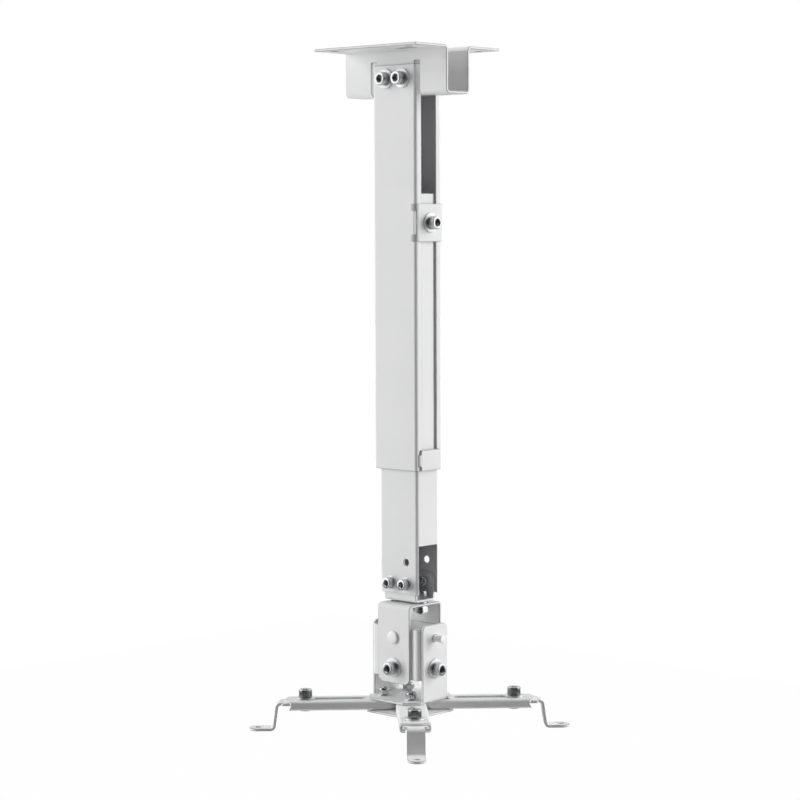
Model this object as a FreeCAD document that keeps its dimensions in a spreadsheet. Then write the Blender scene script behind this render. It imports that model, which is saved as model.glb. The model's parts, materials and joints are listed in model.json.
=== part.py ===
import FreeCAD, Part
import math
import os
import Sketcher
from FreeCAD import Placement, Rotation, Vector

# White telescopic ceiling mount for a projector, in millimetres.
# Origin: centre of the ceiling plate's upper face. +Z up, X along the folded ceiling bracket.

doc = FreeCAD.newDocument("ProjectorMount")

# Driving sizes. A z value is a height below the ceiling face, so it is negative.
SIZES = {
    # Ceiling bracket, one folded sheet
    "bracket_length": 102.0,
    "bracket_width": 93.0,
    "bracket_height": 35.2,
    "bracket_sheet": 2.0,
    "bracket_bend": 3.6,
    "ceiling_hole_dx": 75.0,
    "ceiling_hole_dy": 77.0,
    "ceiling_hole_dia": 6.5,
    "ceiling_slot_x": 24.0,
    "ceiling_slot_y": 27.0,
    "ceiling_slot_length": 19.0,
    "ceiling_slot_width": 6.0,
    "bracket_slit_width": 5.4,
    "bracket_slit_top_z": -10.0,
    "slit_play": 1.0,
    # Outer tube, a channel with two lips and a welded bridge over the foot of its slot
    "tube_width": 43.2,
    "tube_depth": 28.8,
    "tube_wall": 1.5,
    "tube_corner": 2.5,
    "tube_slot": 16.0,
    "tube_top_z": -12.4,
    "tube_length": 301.6,
    "bridge_height": 15.5,
    "bridge_web_height": 9.0,
    "bridge_near_y": -10.2,
    "bridge_far_y": 10.5,
    "bridge_joggle": 2.0,
    "sheet_gap": 0.1,
    "column_screw_dx": 16.2,
    "column_screw_z": -22.5,
    # Inner tube and its clamp
    "inner_width": 38.0,
    "inner_depth": 24.3,
    "inner_wall": 1.5,
    "inner_corner": 2.5,
    "inner_top_z": -107.6,
    "inner_length": 300.2,
    "inner_slide_gap": 0.15,
    "window_height": 36.8,
    "window_corner": 0.5,
    "spare_hole_dia": 5.5,
    "spare_hole_rise": 24.2,
    "clamp_height": 28.0,
    "clamp_sheet": 1.5,
    "clamp_ear_height": 5.3,
    "clamp_ear_length": 5.2,
    "clamp_ear_round": 1.0,
    "clamp_play": 0.1,
    "clamp_drop": 21.6,
    # Swivel bracket under the inner tube
    "swivel_width": 32.0,
    "swivel_sheet": 2.0,
    "swivel_tab_height": 21.5,
    "swivel_tab_round": 6.0,
    "swivel_drop": 6.2,
    "swivel_bend": 2.5,
    "bracket_screw_dx": 15.4,
    "bracket_screw_rise": 7.7,
    "pan_bolt_radius": 11.0,
    "pan_slot_angle": 28.0,
    "pan_washer_thick": 1.2,
    # Upper yoke
    "yoke_width": 32.2,
    "yoke_depth": 36.2,
    "yoke_height": 60.2,
    "yoke_sheet": 2.0,
    "yoke_bend": 3.6,
    "yoke_round": 5.2,
    "tilt_axis_drop": 25.2,
    "tilt_screw_radius": 23.0,
    "tilt_slot_reach": 6.4,
    # Tilt block between the yokes
    "block_wall": 1.6,
    "block_corner": 3.0,
    "block_rise": 7.8,
    "block_height": 38.8,
    "turn_gap": 0.1,
    "rivet_dia": 5.3,
    "rivet_head_dia": 9.6,
    "rivet_head_thick": 1.8,
    "rivet_play": 0.05,
    "pin_reach": 8.5,
    # Lower yoke and hub plate
    "lower_width": 51.6,
    "lower_depth": 27.1,
    "lower_rise": 10.5,
    "lower_drop": 46.5,
    "lower_sheet": 2.0,
    "lower_bend": 3.0,
    "lower_round": 4.5,
    "hub_width": 52.0,
    "hub_chamfer": 9.0,
    "hub_relief": 0.8,
    "hub_bolt_offset": 14.0,
    "plate_width": 56.0,
    "plate_sheet": 2.0,
    "plate_chamfer": 10.0,
    # Arms and feet
    "arm_width": 23.0,
    "arm_depth": 7.2,
    "arm_sheet": 1.6,
    "arm_bend": 2.2,
    "arm_mouth": 14.4,
    "arm_reach": 70.2,
    "arm_end_bulge": 4.4,
    "arm_end_flare": 2.0,
    "arm_end_step": 3.0,
    "arm_slot_start": 17.0,
    "arm_slot_end": 62.0,
    "arm_play": 0.1,
    "arm_pivot_play": 0.1,
    "foot_width": 13.4,
    "foot_side_play": 0.4,
    "foot_corner": 4.0,
    "foot_shoulder": 2.0,
    "foot_sheet": 2.0,
    "foot_start": 40.0,
    "foot_screw_reach": 59.5,
    "foot_leg_reach": 81.7,
    "foot_leg_lean": 2.7,
    "foot_drop": 21.6,
    "foot_tip_reach": 102.2,
    "foot_hole_dia": 4.5,
    "foot_bend": 4.0,
    # Fasteners
    "m6": 6.0,
    "m6_head_dia": 10.0,
    "m6_head": 6.0,
    "m6_key": 5.0,
    "m6_nut_flats": 10.0,
    "m6_nut": 5.0,
    "m6_washer_dia": 14.6,
    "m6_washer": 1.4,
    "m5": 5.0,
    "m5_head_dia": 8.5,
    "m5_head": 5.0,
    "m5_key": 4.0,
    "m5_nut_flats": 8.0,
    "m5_nut": 4.0,
    "m5_washer_dia": 10.0,
    "m5_washer": 1.0,
    "hub_nut_height": 5.0,
    "stud_head_dia": 9.0,
    "stud_head": 1.4,
    "thread_play": 0.05,
    "hole_play": 0.4,
    "head_bevel": 0.6,
    "key_depth": 3.0,
    "tip_length": 1.5,
}

sheet = doc.addObject("Spreadsheet::Sheet", "Sizes")
for row, (alias, value) in enumerate(SIZES.items(), start=1):
    sheet.set("A%d" % row, alias)
    sheet.set("B%d" % row, str(value))
    sheet.setAlias("B%d" % row, alias)
doc.recompute()


class Size:
    """A length that carries its value and the sheet formula that gives it."""

    def __init__(self, value, formula):
        self.value = float(value)
        self.formula = formula

    def __add__(self, other):
        other = as_size(other)
        return Size(self.value + other.value, "(%s + %s)" % (self.formula, other.formula))

    def __sub__(self, other):
        other = as_size(other)
        return Size(self.value - other.value, "(%s - %s)" % (self.formula, other.formula))

    def __mul__(self, factor):
        factor = as_size(factor)
        return Size(self.value * factor.value, "(%s * %s)" % (self.formula, factor.formula))

    def __truediv__(self, factor):
        factor = as_size(factor)
        return Size(self.value / factor.value, "(%s / %s)" % (self.formula, factor.formula))

    def __neg__(self):
        return Size(-self.value, "(0 - %s)" % self.formula)


def as_size(number):
    if isinstance(number, Size):
        return number
    return Size(number, "%.9g" % number if number >= 0 else "(0 - %.9g)" % -number)


def size(alias):
    return Size(sheet.get(alias), "Sizes." + alias)


ZERO = as_size(0)
UP = Vector(0, 0, 1)
NODES = []
SQUARE_HALF = math.sqrt(0.5)
HEX_CORNER = 1 / math.cos(math.radians(30))


# Helpers for bodies, sketches and features

def new_body(name):
    body = doc.addObject("PartDesign::Body", name)
    body.Label = name
    NODES.append(body)
    return body


def place(thing, x=ZERO, y=ZERO, z=ZERO, turn=0.0):
    """Put an object at bound coordinates, turned about the vertical."""
    thing.Placement = Placement(Vector(x.value, y.value, z.value), Rotation(UP, turn))
    for axis, length in (("x", x), ("y", y), ("z", z)):
        thing.setExpression("Placement.Base." + axis, length.formula)


def origin_plane(body, role):
    return [item for item in body.Origin.OriginFeatures if item.Role == role][0]


def new_sketch(body, role, offset=None):
    sketch = body.newObject("Sketcher::SketchObject", body.Name + "_sketch")
    sketch.AttachmentSupport = (origin_plane(body, role), [""])
    sketch.MapMode = "FlatFace"
    if offset is not None:
        sketch.AttachmentOffset = Placement(Vector(0, 0, offset.value), Rotation())
        sketch.setExpression("AttachmentOffset.Base.z", offset.formula)
    return sketch


def pin_point(sketch, piece, point, x, y):
    """Hold one sketch point at bound distances from the sketch origin."""
    for kind, length in (("DistanceX", x), ("DistanceY", y)):
        index = sketch.addConstraint(
            Sketcher.Constraint(kind, -1, 1, piece, point, length.value))
        sketch.setExpression("Constraints[%d]" % index, length.formula)


def draw_outline(sketch, corners):
    """Draw a closed outline of straight lines through bound corners."""
    corners = [(as_size(x), as_size(y)) for x, y in corners]
    lines = []
    for here, there in zip(corners, corners[1:] + corners[:1]):
        start = Vector(here[0].value, here[1].value, 0)
        end = Vector(there[0].value, there[1].value, 0)
        lines.append(sketch.addGeometry(Part.LineSegment(start, end)))
    for line, following in zip(lines, lines[1:] + lines[:1]):
        sketch.addConstraint(Sketcher.Constraint("Coincident", line, 2, following, 1))
    for line, (x, y) in zip(lines, corners):
        pin_point(sketch, line, 1, x, y)


def draw_box(sketch, low_x, high_x, low_y, high_y):
    draw_outline(sketch, [(low_x, low_y), (high_x, low_y), (high_x, high_y), (low_x, high_y)])


def set_radius(sketch, piece, radius):
    index = sketch.addConstraint(Sketcher.Constraint("Radius", piece, radius.value))
    sketch.setExpression("Constraints[%d]" % index, radius.formula)


def draw_circle(sketch, x, y, diameter):
    x, y, radius = as_size(x), as_size(y), diameter / 2
    piece = sketch.addGeometry(Part.Circle(Vector(x.value, y.value, 0), UP, radius.value))
    pin_point(sketch, piece, 3, x, y)
    set_radius(sketch, piece, radius)


def draw_slot(sketch, start, end, width):
    """Draw a round-ended slot along the sketch's first axis, from centre to centre."""
    (x0, y0), (x1, _) = start, end
    radius = width / 2
    high, low = y0.value + radius.value, y0.value - radius.value
    upper = sketch.addGeometry(Part.LineSegment(
        Vector(x1.value, high, 0), Vector(x0.value, high, 0)))
    lower = sketch.addGeometry(Part.LineSegment(
        Vector(x0.value, low, 0), Vector(x1.value, low, 0)))
    left = sketch.addGeometry(Part.ArcOfCircle(
        Part.Circle(Vector(x0.value, y0.value, 0), UP, radius.value), math.pi / 2, 3 * math.pi / 2))
    right = sketch.addGeometry(Part.ArcOfCircle(
        Part.Circle(Vector(x1.value, y0.value, 0), UP, radius.value), -math.pi / 2, math.pi / 2))
    for first, second in ((left, upper), (lower, left), (right, lower), (upper, right)):
        sketch.addConstraint(Sketcher.Constraint("Tangent", first, 1, second, 2))
    for arc, x in ((left, x0), (right, x1)):
        pin_point(sketch, arc, 3, x, y0)
        set_radius(sketch, arc, radius)


def draw_sector(sketch, centre, radii, angles):
    """Draw the strip between two arcs about one centre, from angle to angle in degrees."""
    x, y = centre
    origin = Vector(x.value, y.value, 0)
    low, high = (math.radians(angle) for angle in angles)
    inner, outer = (sketch.addGeometry(Part.ArcOfCircle(
        Part.Circle(origin, UP, radius.value), low, high)) for radius in radii)
    corners = [[(x + radius * math.cos(angle), y + radius * math.sin(angle))
                for angle in (low, high)] for radius in radii]
    ends = []
    for near, far in zip(*corners):
        ends.append(sketch.addGeometry(Part.LineSegment(
            Vector(near[0].value, near[1].value, 0), Vector(far[0].value, far[1].value, 0))))
    for arc, side in ((inner, 1), (outer, 2)):
        for end, tip in zip(ends, (1, 2)):
            sketch.addConstraint(Sketcher.Constraint("Coincident", arc, tip, end, side))
    for end, near, far in zip(ends, *corners):
        pin_point(sketch, end, 1, *near)
        pin_point(sketch, end, 2, *far)
    for arc, radius in zip((inner, outer), radii):
        set_radius(sketch, arc, radius)


def pad(body, sketch, length, both_sides=False, reverse=False):
    feature = body.newObject("PartDesign::Pad", body.Name + "_pad")
    feature.Profile = sketch
    feature.SideType = "Symmetric" if both_sides else "One side"
    feature.Reversed = reverse
    feature.setExpression("Length", length.formula)
    doc.recompute()
    return feature


def pocket(body, sketch, length=None, reverse=False):
    """Cut a sketch through everything both ways, or to a length on one side."""
    before = body.Shape.Volume
    feature = body.newObject("PartDesign::Pocket", body.Name + "_pocket")
    feature.Profile = sketch
    if length is None:
        feature.Type = "ThroughAll"
        feature.SideType = "Symmetric"
    else:
        feature.SideType = "One side"
        feature.setExpression("Length", length.formula)
        feature.Reversed = reverse
    doc.recompute()
    if body.Shape.Volume >= before:
        raise RuntimeError("a pocket in %s cuts nothing" % body.Label)
    return feature


def edges_at(feature, along, spots):
    """Name the edges that run along one axis through the given spots of the other two axes."""
    names = []
    keep = [axis for axis in "xyz" if axis != along]
    for index, edge in enumerate(feature.Shape.Edges, start=1):
        middle = edge.CenterOfMass
        direction = edge.Vertexes[-1].Point - edge.Vertexes[0].Point
        if abs(getattr(direction, along)) < direction.Length * 0.999 or direction.Length == 0:
            continue
        for spot in spots:
            first, second = (as_size(length).value for length in spot)
            off = abs(getattr(middle, keep[0]) - first) + abs(getattr(middle, keep[1]) - second)
            if off < 0.01:
                names.append("Edge%d" % index)
    if not names:
        raise RuntimeError("no edge found in %s" % feature.Label)
    return names


def round_edges(body, radius, along, spots):
    base = body.Tip
    feature = body.newObject("PartDesign::Fillet", body.Name + "_fillet")
    feature.Base = (base, edges_at(base, along, spots))
    feature.setExpression("Radius", radius.formula)
    doc.recompute()
    return feature


# Sizes that follow from the driving ones

half_tube_w = size("tube_width") / 2
half_tube_d = size("tube_depth") / 2
wall_plane = half_tube_d - size("tube_wall") - size("sheet_gap")
slit_near = half_tube_w - size("tube_wall") - size("slit_play")
tube_bottom_z = size("tube_top_z") - size("tube_length")

inner_face_x = half_tube_w - size("tube_wall") - size("inner_slide_gap")
inner_x = inner_face_x - size("inner_width") / 2
half_inner_d = size("inner_depth") / 2
inner_bottom_z = size("inner_top_z") - size("inner_length")
bracket_screw_z = inner_bottom_z + size("bracket_screw_rise")
clamp_z = size("inner_top_z") - size("clamp_drop")
clamp_in_x = half_tube_w + size("clamp_play")
clamp_out_x = clamp_in_x + size("clamp_sheet")

swivel_bottom_z = inner_bottom_z - size("swivel_drop")
swivel_plane = half_inner_d - size("inner_wall") - size("sheet_gap")
yoke_top_z = swivel_bottom_z - size("pan_washer_thick") - size("turn_gap")
half_yoke_w = size("yoke_width") / 2
half_yoke_d = size("yoke_depth") / 2
yoke_inner = half_yoke_d - size("yoke_sheet")
tilt_z = yoke_top_z - size("tilt_axis_drop")
tilt_screw_z = tilt_z - size("tilt_screw_radius")

half_lower_w = size("lower_width") / 2
lower_inner = half_lower_w - size("lower_sheet")
half_block_w = lower_inner - size("turn_gap")
half_block_d = yoke_inner - size("turn_gap")
lower_base_z = tilt_z - size("lower_drop")
hub_under_z = lower_base_z - size("lower_sheet")
arm_top_z = hub_under_z - size("arm_play")
plate_top_z = arm_top_z - size("arm_depth") - size("arm_play")

m6_hole = size("m6") + size("hole_play")
m5_hole = size("m5") + size("hole_play")
rivet_hole = size("rivet_dia") + size("rivet_play") * 2

ARM_TURNS = {"right": 45.0, "back": 135.0, "left": 225.0, "front": 315.0}


def make_ceiling_bracket():
    """One sheet folded to a hat: two flanges, two walls and a floor, slit for the tube."""
    body = new_body("ceiling_bracket")
    edge = size("bracket_width") / 2
    sheet_t = size("bracket_sheet")
    outer = wall_plane
    inner = wall_plane - sheet_t
    floor = -size("bracket_height")
    sketch = new_sketch(body, "YZ_Plane")
    draw_outline(sketch, [
        (-edge, ZERO), (-inner, ZERO), (-inner, floor + sheet_t), (inner, floor + sheet_t),
        (inner, ZERO), (edge, ZERO), (edge, -sheet_t), (outer, -sheet_t),
        (outer, floor), (-outer, floor), (-outer, -sheet_t), (-edge, -sheet_t)])
    pad(body, sketch, size("bracket_length"), both_sides=True)
    bend = size("bracket_bend")
    round_edges(body, bend, "x", [
        (-inner, ZERO), (inner, ZERO), (outer, floor), (-outer, floor)])
    round_edges(body, bend - sheet_t, "x", [
        (-outer, -sheet_t), (outer, -sheet_t), (inner, floor + sheet_t), (-inner, floor + sheet_t)])

    flange_holes = new_sketch(body, "XY_Plane")
    for side_x in (-1, 1):
        for side_y in (-1, 1):
            draw_circle(flange_holes, size("ceiling_hole_dx") * side_x / 2,
                        size("ceiling_hole_dy") * side_y / 2, size("ceiling_hole_dia"))
    half_slot = (size("ceiling_slot_length") - size("ceiling_slot_width")) / 2
    for side in (-1, 1):
        middle_x = -size("ceiling_slot_x") * side
        middle_y = size("ceiling_slot_y") * side
        draw_slot(flange_holes, (middle_x - half_slot, middle_y), (middle_x + half_slot, middle_y),
                  size("ceiling_slot_width"))
    pocket(body, flange_holes, sheet_t * 2)

    slits = new_sketch(body, "XZ_Plane")
    slit_far = slit_near + size("bracket_slit_width")
    below = floor - sheet_t
    draw_box(slits, slit_near, slit_far, below, size("bracket_slit_top_z"))
    draw_box(slits, -slit_far, -slit_near, below, size("bracket_slit_top_z"))
    pocket(body, slits)

    screw_holes = new_sketch(body, "XZ_Plane")
    for side in (-1, 1):
        draw_circle(screw_holes, size("column_screw_dx") * side / 2, size("column_screw_z"), m6_hole)
    pocket(body, screw_holes)


def make_outer_tube():
    """Lipped channel: back, front and side wall, and two lips that leave a slot on +X."""
    body = new_body("outer_tube")
    place(body, z=size("tube_top_z"))
    wall = size("tube_wall")
    in_x = half_tube_w - wall
    in_y = half_tube_d - wall
    half_slot = size("tube_slot") / 2
    sketch = new_sketch(body, "XY_Plane")
    draw_outline(sketch, [
        (half_tube_w, -half_slot), (half_tube_w, -half_tube_d), (-half_tube_w, -half_tube_d),
        (-half_tube_w, half_tube_d), (half_tube_w, half_tube_d), (half_tube_w, half_slot),
        (in_x, half_slot), (in_x, in_y), (-in_x, in_y),
        (-in_x, -in_y), (in_x, -in_y), (in_x, -half_slot)])
    pad(body, sketch, size("tube_length"), reverse=True)
    round_edges(body, size("tube_corner"), "z", [
        (half_tube_w, -half_tube_d), (-half_tube_w, -half_tube_d),
        (-half_tube_w, half_tube_d), (half_tube_w, half_tube_d)])
    round_edges(body, size("tube_corner") - wall, "z", [
        (in_x, in_y), (-in_x, in_y), (-in_x, -in_y), (in_x, -in_y)])

    bridge_out = half_tube_w + wall
    near, far = size("bridge_near_y"), size("bridge_far_y")
    bottom = -size("tube_length")
    plate = new_sketch(body, "XY_Plane", bottom)
    draw_box(plate, half_tube_w, bridge_out, near, far)
    pad(body, plate, size("bridge_height"))
    web_start = bottom + (size("bridge_height") - size("bridge_web_height")) / 2
    web = new_sketch(body, "XY_Plane", web_start)
    draw_outline(web, [(half_tube_w, near - size("bridge_joggle")), (bridge_out, near),
                       (half_tube_w, near)])
    pad(body, web, size("bridge_web_height"))

    holes = new_sketch(body, "XZ_Plane")
    for side in (-1, 1):
        draw_circle(holes, size("column_screw_dx") * side / 2,
                    size("column_screw_z") - size("tube_top_z"), m6_hole)
    pocket(body, holes)


def make_inner_tube():
    """Closed tube with a window at the foot of its +X wall."""
    body = new_body("inner_tube")
    place(body, inner_x, ZERO, inner_bottom_z)
    wall = size("inner_wall")
    half_w = size("inner_width") / 2
    sketch = new_sketch(body, "XY_Plane")
    draw_box(sketch, -half_w, half_w, -half_inner_d, half_inner_d)
    draw_box(sketch, wall - half_w, half_w - wall, wall - half_inner_d, half_inner_d - wall)
    pad(body, sketch, size("inner_length"))
    corners = ((-1, -1), (-1, 1), (1, -1), (1, 1))
    round_edges(body, size("inner_corner"), "z", [
        (half_w * x, half_inner_d * y) for x, y in corners])
    round_edges(body, size("inner_corner") - wall, "z", [
        ((half_w - wall) * x, (half_inner_d - wall) * y) for x, y in corners])

    window = new_sketch(body, "YZ_Plane", half_w - wall * 2)
    window_half = half_inner_d - wall - size("window_corner")
    draw_box(window, -window_half, window_half, -wall, size("window_height"))
    pocket(body, window, wall * 3, reverse=True)

    cross_holes = new_sketch(body, "XZ_Plane")
    half_dx = size("bracket_screw_dx") / 2
    for side in (-1, 1):
        draw_circle(cross_holes, half_dx * side, size("bracket_screw_rise"), m5_hole)
    draw_circle(cross_holes, half_dx, size("spare_hole_rise"), size("spare_hole_dia"))
    pocket(body, cross_holes)

    clamp_hole = new_sketch(body, "YZ_Plane", half_w - wall * 2)
    draw_circle(clamp_hole, ZERO, size("inner_length") - size("clamp_drop"), m6_hole)
    pocket(body, clamp_hole, wall * 3, reverse=True)


def make_clamp_plate():
    """Plate over the slot, with four ears that guide it on the outer tube's corners."""
    body = new_body("clamp_plate")
    place(body, z=clamp_z)
    ear_in = half_tube_d + size("clamp_play")
    ear_out = ear_in + size("clamp_sheet")
    ear_end = clamp_out_x - size("clamp_ear_length")
    sketch = new_sketch(body, "XY_Plane")
    draw_outline(sketch, [
        (ear_end, -ear_out), (clamp_out_x, -ear_out), (clamp_out_x, ear_out), (ear_end, ear_out),
        (ear_end, ear_in), (clamp_in_x, ear_in), (clamp_in_x, -ear_in), (ear_end, -ear_in)])
    pad(body, sketch, size("clamp_height"), both_sides=True)
    hug = size("tube_corner") + size("clamp_play")
    round_edges(body, hug + size("clamp_sheet"), "z", [
        (clamp_out_x, -ear_out), (clamp_out_x, ear_out)])
    round_edges(body, hug, "z", [(clamp_in_x, -ear_in), (clamp_in_x, ear_in)])
    notch_half = size("clamp_height") / 2 - size("clamp_ear_height")
    notches = new_sketch(body, "YZ_Plane")
    for side in (-1, 1):
        near, far = sorted((ear_in * side, ear_out * side * 1.2), key=lambda length: length.value)
        draw_box(notches, near, far, -notch_half, notch_half)
    pocket(body, notches)
    top = size("clamp_height") / 2
    round_edges(body, size("clamp_ear_round"), "y", [
        (ear_end, z) for z in (top, notch_half, -notch_half, -top)])
    hole = new_sketch(body, "YZ_Plane")
    draw_circle(hole, ZERO, ZERO, m6_hole)
    pocket(body, hole)


def make_swivel_bracket():
    """U bracket with two round-cornered tabs inside the inner tube."""
    body = new_body("swivel_bracket")
    place(body, inner_x, ZERO, swivel_bottom_z)
    thick = size("swivel_sheet")
    top = size("swivel_tab_height")
    sketch = new_sketch(body, "YZ_Plane")
    draw_outline(sketch, [
        (-swivel_plane, ZERO), (swivel_plane, ZERO), (swivel_plane, top),
        (swivel_plane - thick, top), (swivel_plane - thick, thick),
        (thick - swivel_plane, thick), (thick - swivel_plane, top), (-swivel_plane, top)])
    pad(body, sketch, size("swivel_width"), both_sides=True)
    round_edges(body, size("swivel_bend"), "x", [(-swivel_plane, ZERO), (swivel_plane, ZERO)])
    round_edges(body, size("swivel_bend") - thick, "x", [
        (thick - swivel_plane, thick), (swivel_plane - thick, thick)])
    half_w = size("swivel_width") / 2
    round_edges(body, size("swivel_tab_round"), "y", [(-half_w, top), (half_w, top)])
    cross_holes = new_sketch(body, "XZ_Plane")
    for side in (-1, 1):
        draw_circle(cross_holes, size("bracket_screw_dx") * side / 2,
                    bracket_screw_z - swivel_bottom_z, m5_hole)
    pocket(body, cross_holes)
    bolt_holes = new_sketch(body, "XY_Plane")
    for side in (-1, 1):
        draw_circle(bolt_holes, size("pan_bolt_radius") * side, ZERO, m6_hole)
    pocket(body, bolt_holes)


def cut_arc_slot(body, role, radius, middle, spread, length=None):
    """Cut a curved slot with round ends for an M6 screw, spread degrees to both sides."""
    half = m6_hole / 2
    strip = new_sketch(body, role)
    draw_sector(strip, (ZERO, ZERO), (radius - half, radius + half),
                (middle - spread, middle + spread))
    pocket(body, strip, length)
    ends = new_sketch(body, role)
    for angle in (middle - spread, middle + spread):
        turn = math.radians(angle)
        draw_circle(ends, radius * math.cos(turn), radius * math.sin(turn), m6_hole)
    pocket(body, ends, length)


def make_upper_yoke():
    """Upside-down U: its top turns on the pan bolts, its two legs carry the tilt pivots."""
    body = new_body("upper_yoke")
    place(body, inner_x, ZERO, yoke_top_z)
    thick = size("yoke_sheet")
    bottom = -size("yoke_height")
    sketch = new_sketch(body, "YZ_Plane")
    draw_outline(sketch, [
        (-half_yoke_d, ZERO), (half_yoke_d, ZERO), (half_yoke_d, bottom), (yoke_inner, bottom),
        (yoke_inner, -thick), (-yoke_inner, -thick), (-yoke_inner, bottom), (-half_yoke_d, bottom)])
    pad(body, sketch, size("yoke_width"), both_sides=True)
    round_edges(body, size("yoke_bend"), "x", [(-half_yoke_d, ZERO), (half_yoke_d, ZERO)])
    round_edges(body, size("yoke_bend") - thick, "x", [(-yoke_inner, -thick), (yoke_inner, -thick)])
    round_edges(body, size("yoke_round"), "y", [(-half_yoke_w, bottom), (half_yoke_w, bottom)])
    leg_holes = new_sketch(body, "XZ_Plane")
    draw_circle(leg_holes, ZERO, -size("tilt_axis_drop"), rivet_hole)
    draw_circle(leg_holes, ZERO, -size("tilt_axis_drop") - size("tilt_screw_radius"), m6_hole)
    pocket(body, leg_holes)
    for middle in (0, 180):
        cut_arc_slot(body, "XY_Plane", size("pan_bolt_radius"), middle,
                     size("pan_slot_angle").value, thick * 2)


def make_tilt_block():
    """Square ring between the yokes: pivots and curved slots in all four walls."""
    body = new_body("tilt_block")
    place(body, inner_x, ZERO, tilt_z)
    wall = size("block_wall")
    top = size("block_rise")
    sketch = new_sketch(body, "XY_Plane", top)
    draw_box(sketch, -half_block_w, half_block_w, -half_block_d, half_block_d)
    draw_box(sketch, wall - half_block_w, half_block_w - wall,
             wall - half_block_d, half_block_d - wall)
    pad(body, sketch, size("block_height"), reverse=True)
    corners = ((-1, -1), (-1, 1), (1, -1), (1, 1))
    round_edges(body, size("block_corner"), "z", [
        (half_block_w * x, half_block_d * y) for x, y in corners])
    round_edges(body, size("block_corner") - wall, "z", [
        ((half_block_w - wall) * x, (half_block_d - wall) * y) for x, y in corners])
    spread = math.degrees(size("tilt_slot_reach").value / size("tilt_screw_radius").value)
    for role in ("XZ_Plane", "YZ_Plane"):
        pivot = new_sketch(body, role)
        draw_circle(pivot, ZERO, ZERO, rivet_hole)
        pocket(body, pivot)
        cut_arc_slot(body, role, size("tilt_screw_radius"), -90, spread)


def make_lower_yoke():
    """Eight-sided base with two legs folded up from its side edges."""
    body = new_body("lower_yoke")
    place(body, inner_x, ZERO, lower_base_z)
    thick = size("lower_sheet")
    half = size("hub_width") / 2
    cut = half - size("hub_chamfer")
    under = -thick
    base = new_sketch(body, "XY_Plane")
    draw_outline(base, [(cut, -half), (half, -cut), (half, cut), (cut, half),
                        (-cut, half), (-half, cut), (-half, -cut), (-cut, -half)])
    pad(body, base, thick, reverse=True)
    half_d = size("lower_depth") / 2
    relief_y = half_d + size("hub_relief")
    relief_x = half_lower_w - size("lower_bend")
    relief = new_sketch(body, "XY_Plane")
    draw_box(relief, relief_x, half * 1.2, -relief_y, relief_y)
    draw_box(relief, half * -1.2, -relief_x, -relief_y, relief_y)
    pocket(body, relief)
    top = size("lower_drop") + size("lower_rise")
    legs = new_sketch(body, "XZ_Plane")
    draw_outline(legs, [
        (-half_lower_w, under), (half_lower_w, under), (half_lower_w, top), (lower_inner, top),
        (lower_inner, ZERO), (-lower_inner, ZERO), (-lower_inner, top), (-half_lower_w, top)])
    pad(body, legs, size("lower_depth"), both_sides=True)
    round_edges(body, size("lower_bend"), "y", [(-half_lower_w, under), (half_lower_w, under)])
    round_edges(body, size("lower_bend") - thick, "y", [(-lower_inner, ZERO), (lower_inner, ZERO)])
    round_edges(body, size("lower_round"), "x", [(-half_d, top), (half_d, top)])
    leg_holes = new_sketch(body, "YZ_Plane")
    draw_circle(leg_holes, ZERO, size("lower_drop"), rivet_hole)
    draw_circle(leg_holes, ZERO, size("lower_drop") - size("tilt_screw_radius"), m6_hole)
    pocket(body, leg_holes)
    bolt_holes = new_sketch(body, "XY_Plane")
    for x in (-1, 1):
        for y in (-1, 1):
            draw_circle(bolt_holes, size("hub_bolt_offset") * x, size("hub_bolt_offset") * y, m5_hole)
    pocket(body, bolt_holes, thick * 2)


def make_hub_plate():
    """Plain eight-sided plate that holds the arms from below."""
    body = new_body("hub_plate")
    place(body, inner_x, ZERO, plate_top_z)
    half = size("plate_width") / 2
    cut = half - size("plate_chamfer")
    outline = new_sketch(body, "XY_Plane")
    draw_outline(outline, [(cut, -half), (half, -cut), (half, cut), (cut, half),
                           (-cut, half), (-half, cut), (-half, -cut), (-cut, -half)])
    for x in (-1, 1):
        for y in (-1, 1):
            draw_circle(outline, size("hub_bolt_offset") * x, size("hub_bolt_offset") * y, m5_hole)
    pad(body, outline, size("plate_sheet"), reverse=True)


def place_on_arm(thing, side):
    """Put an object on an arm's own frame: origin at the arm's pivot, X outwards."""
    turn = ARM_TURNS[side]
    across_x = 1 if side in ("right", "front") else -1
    across_y = 1 if side in ("right", "back") else -1
    place(thing, inner_x + size("hub_bolt_offset") * across_x,
          size("hub_bolt_offset") * across_y, arm_top_z, turn)


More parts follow.
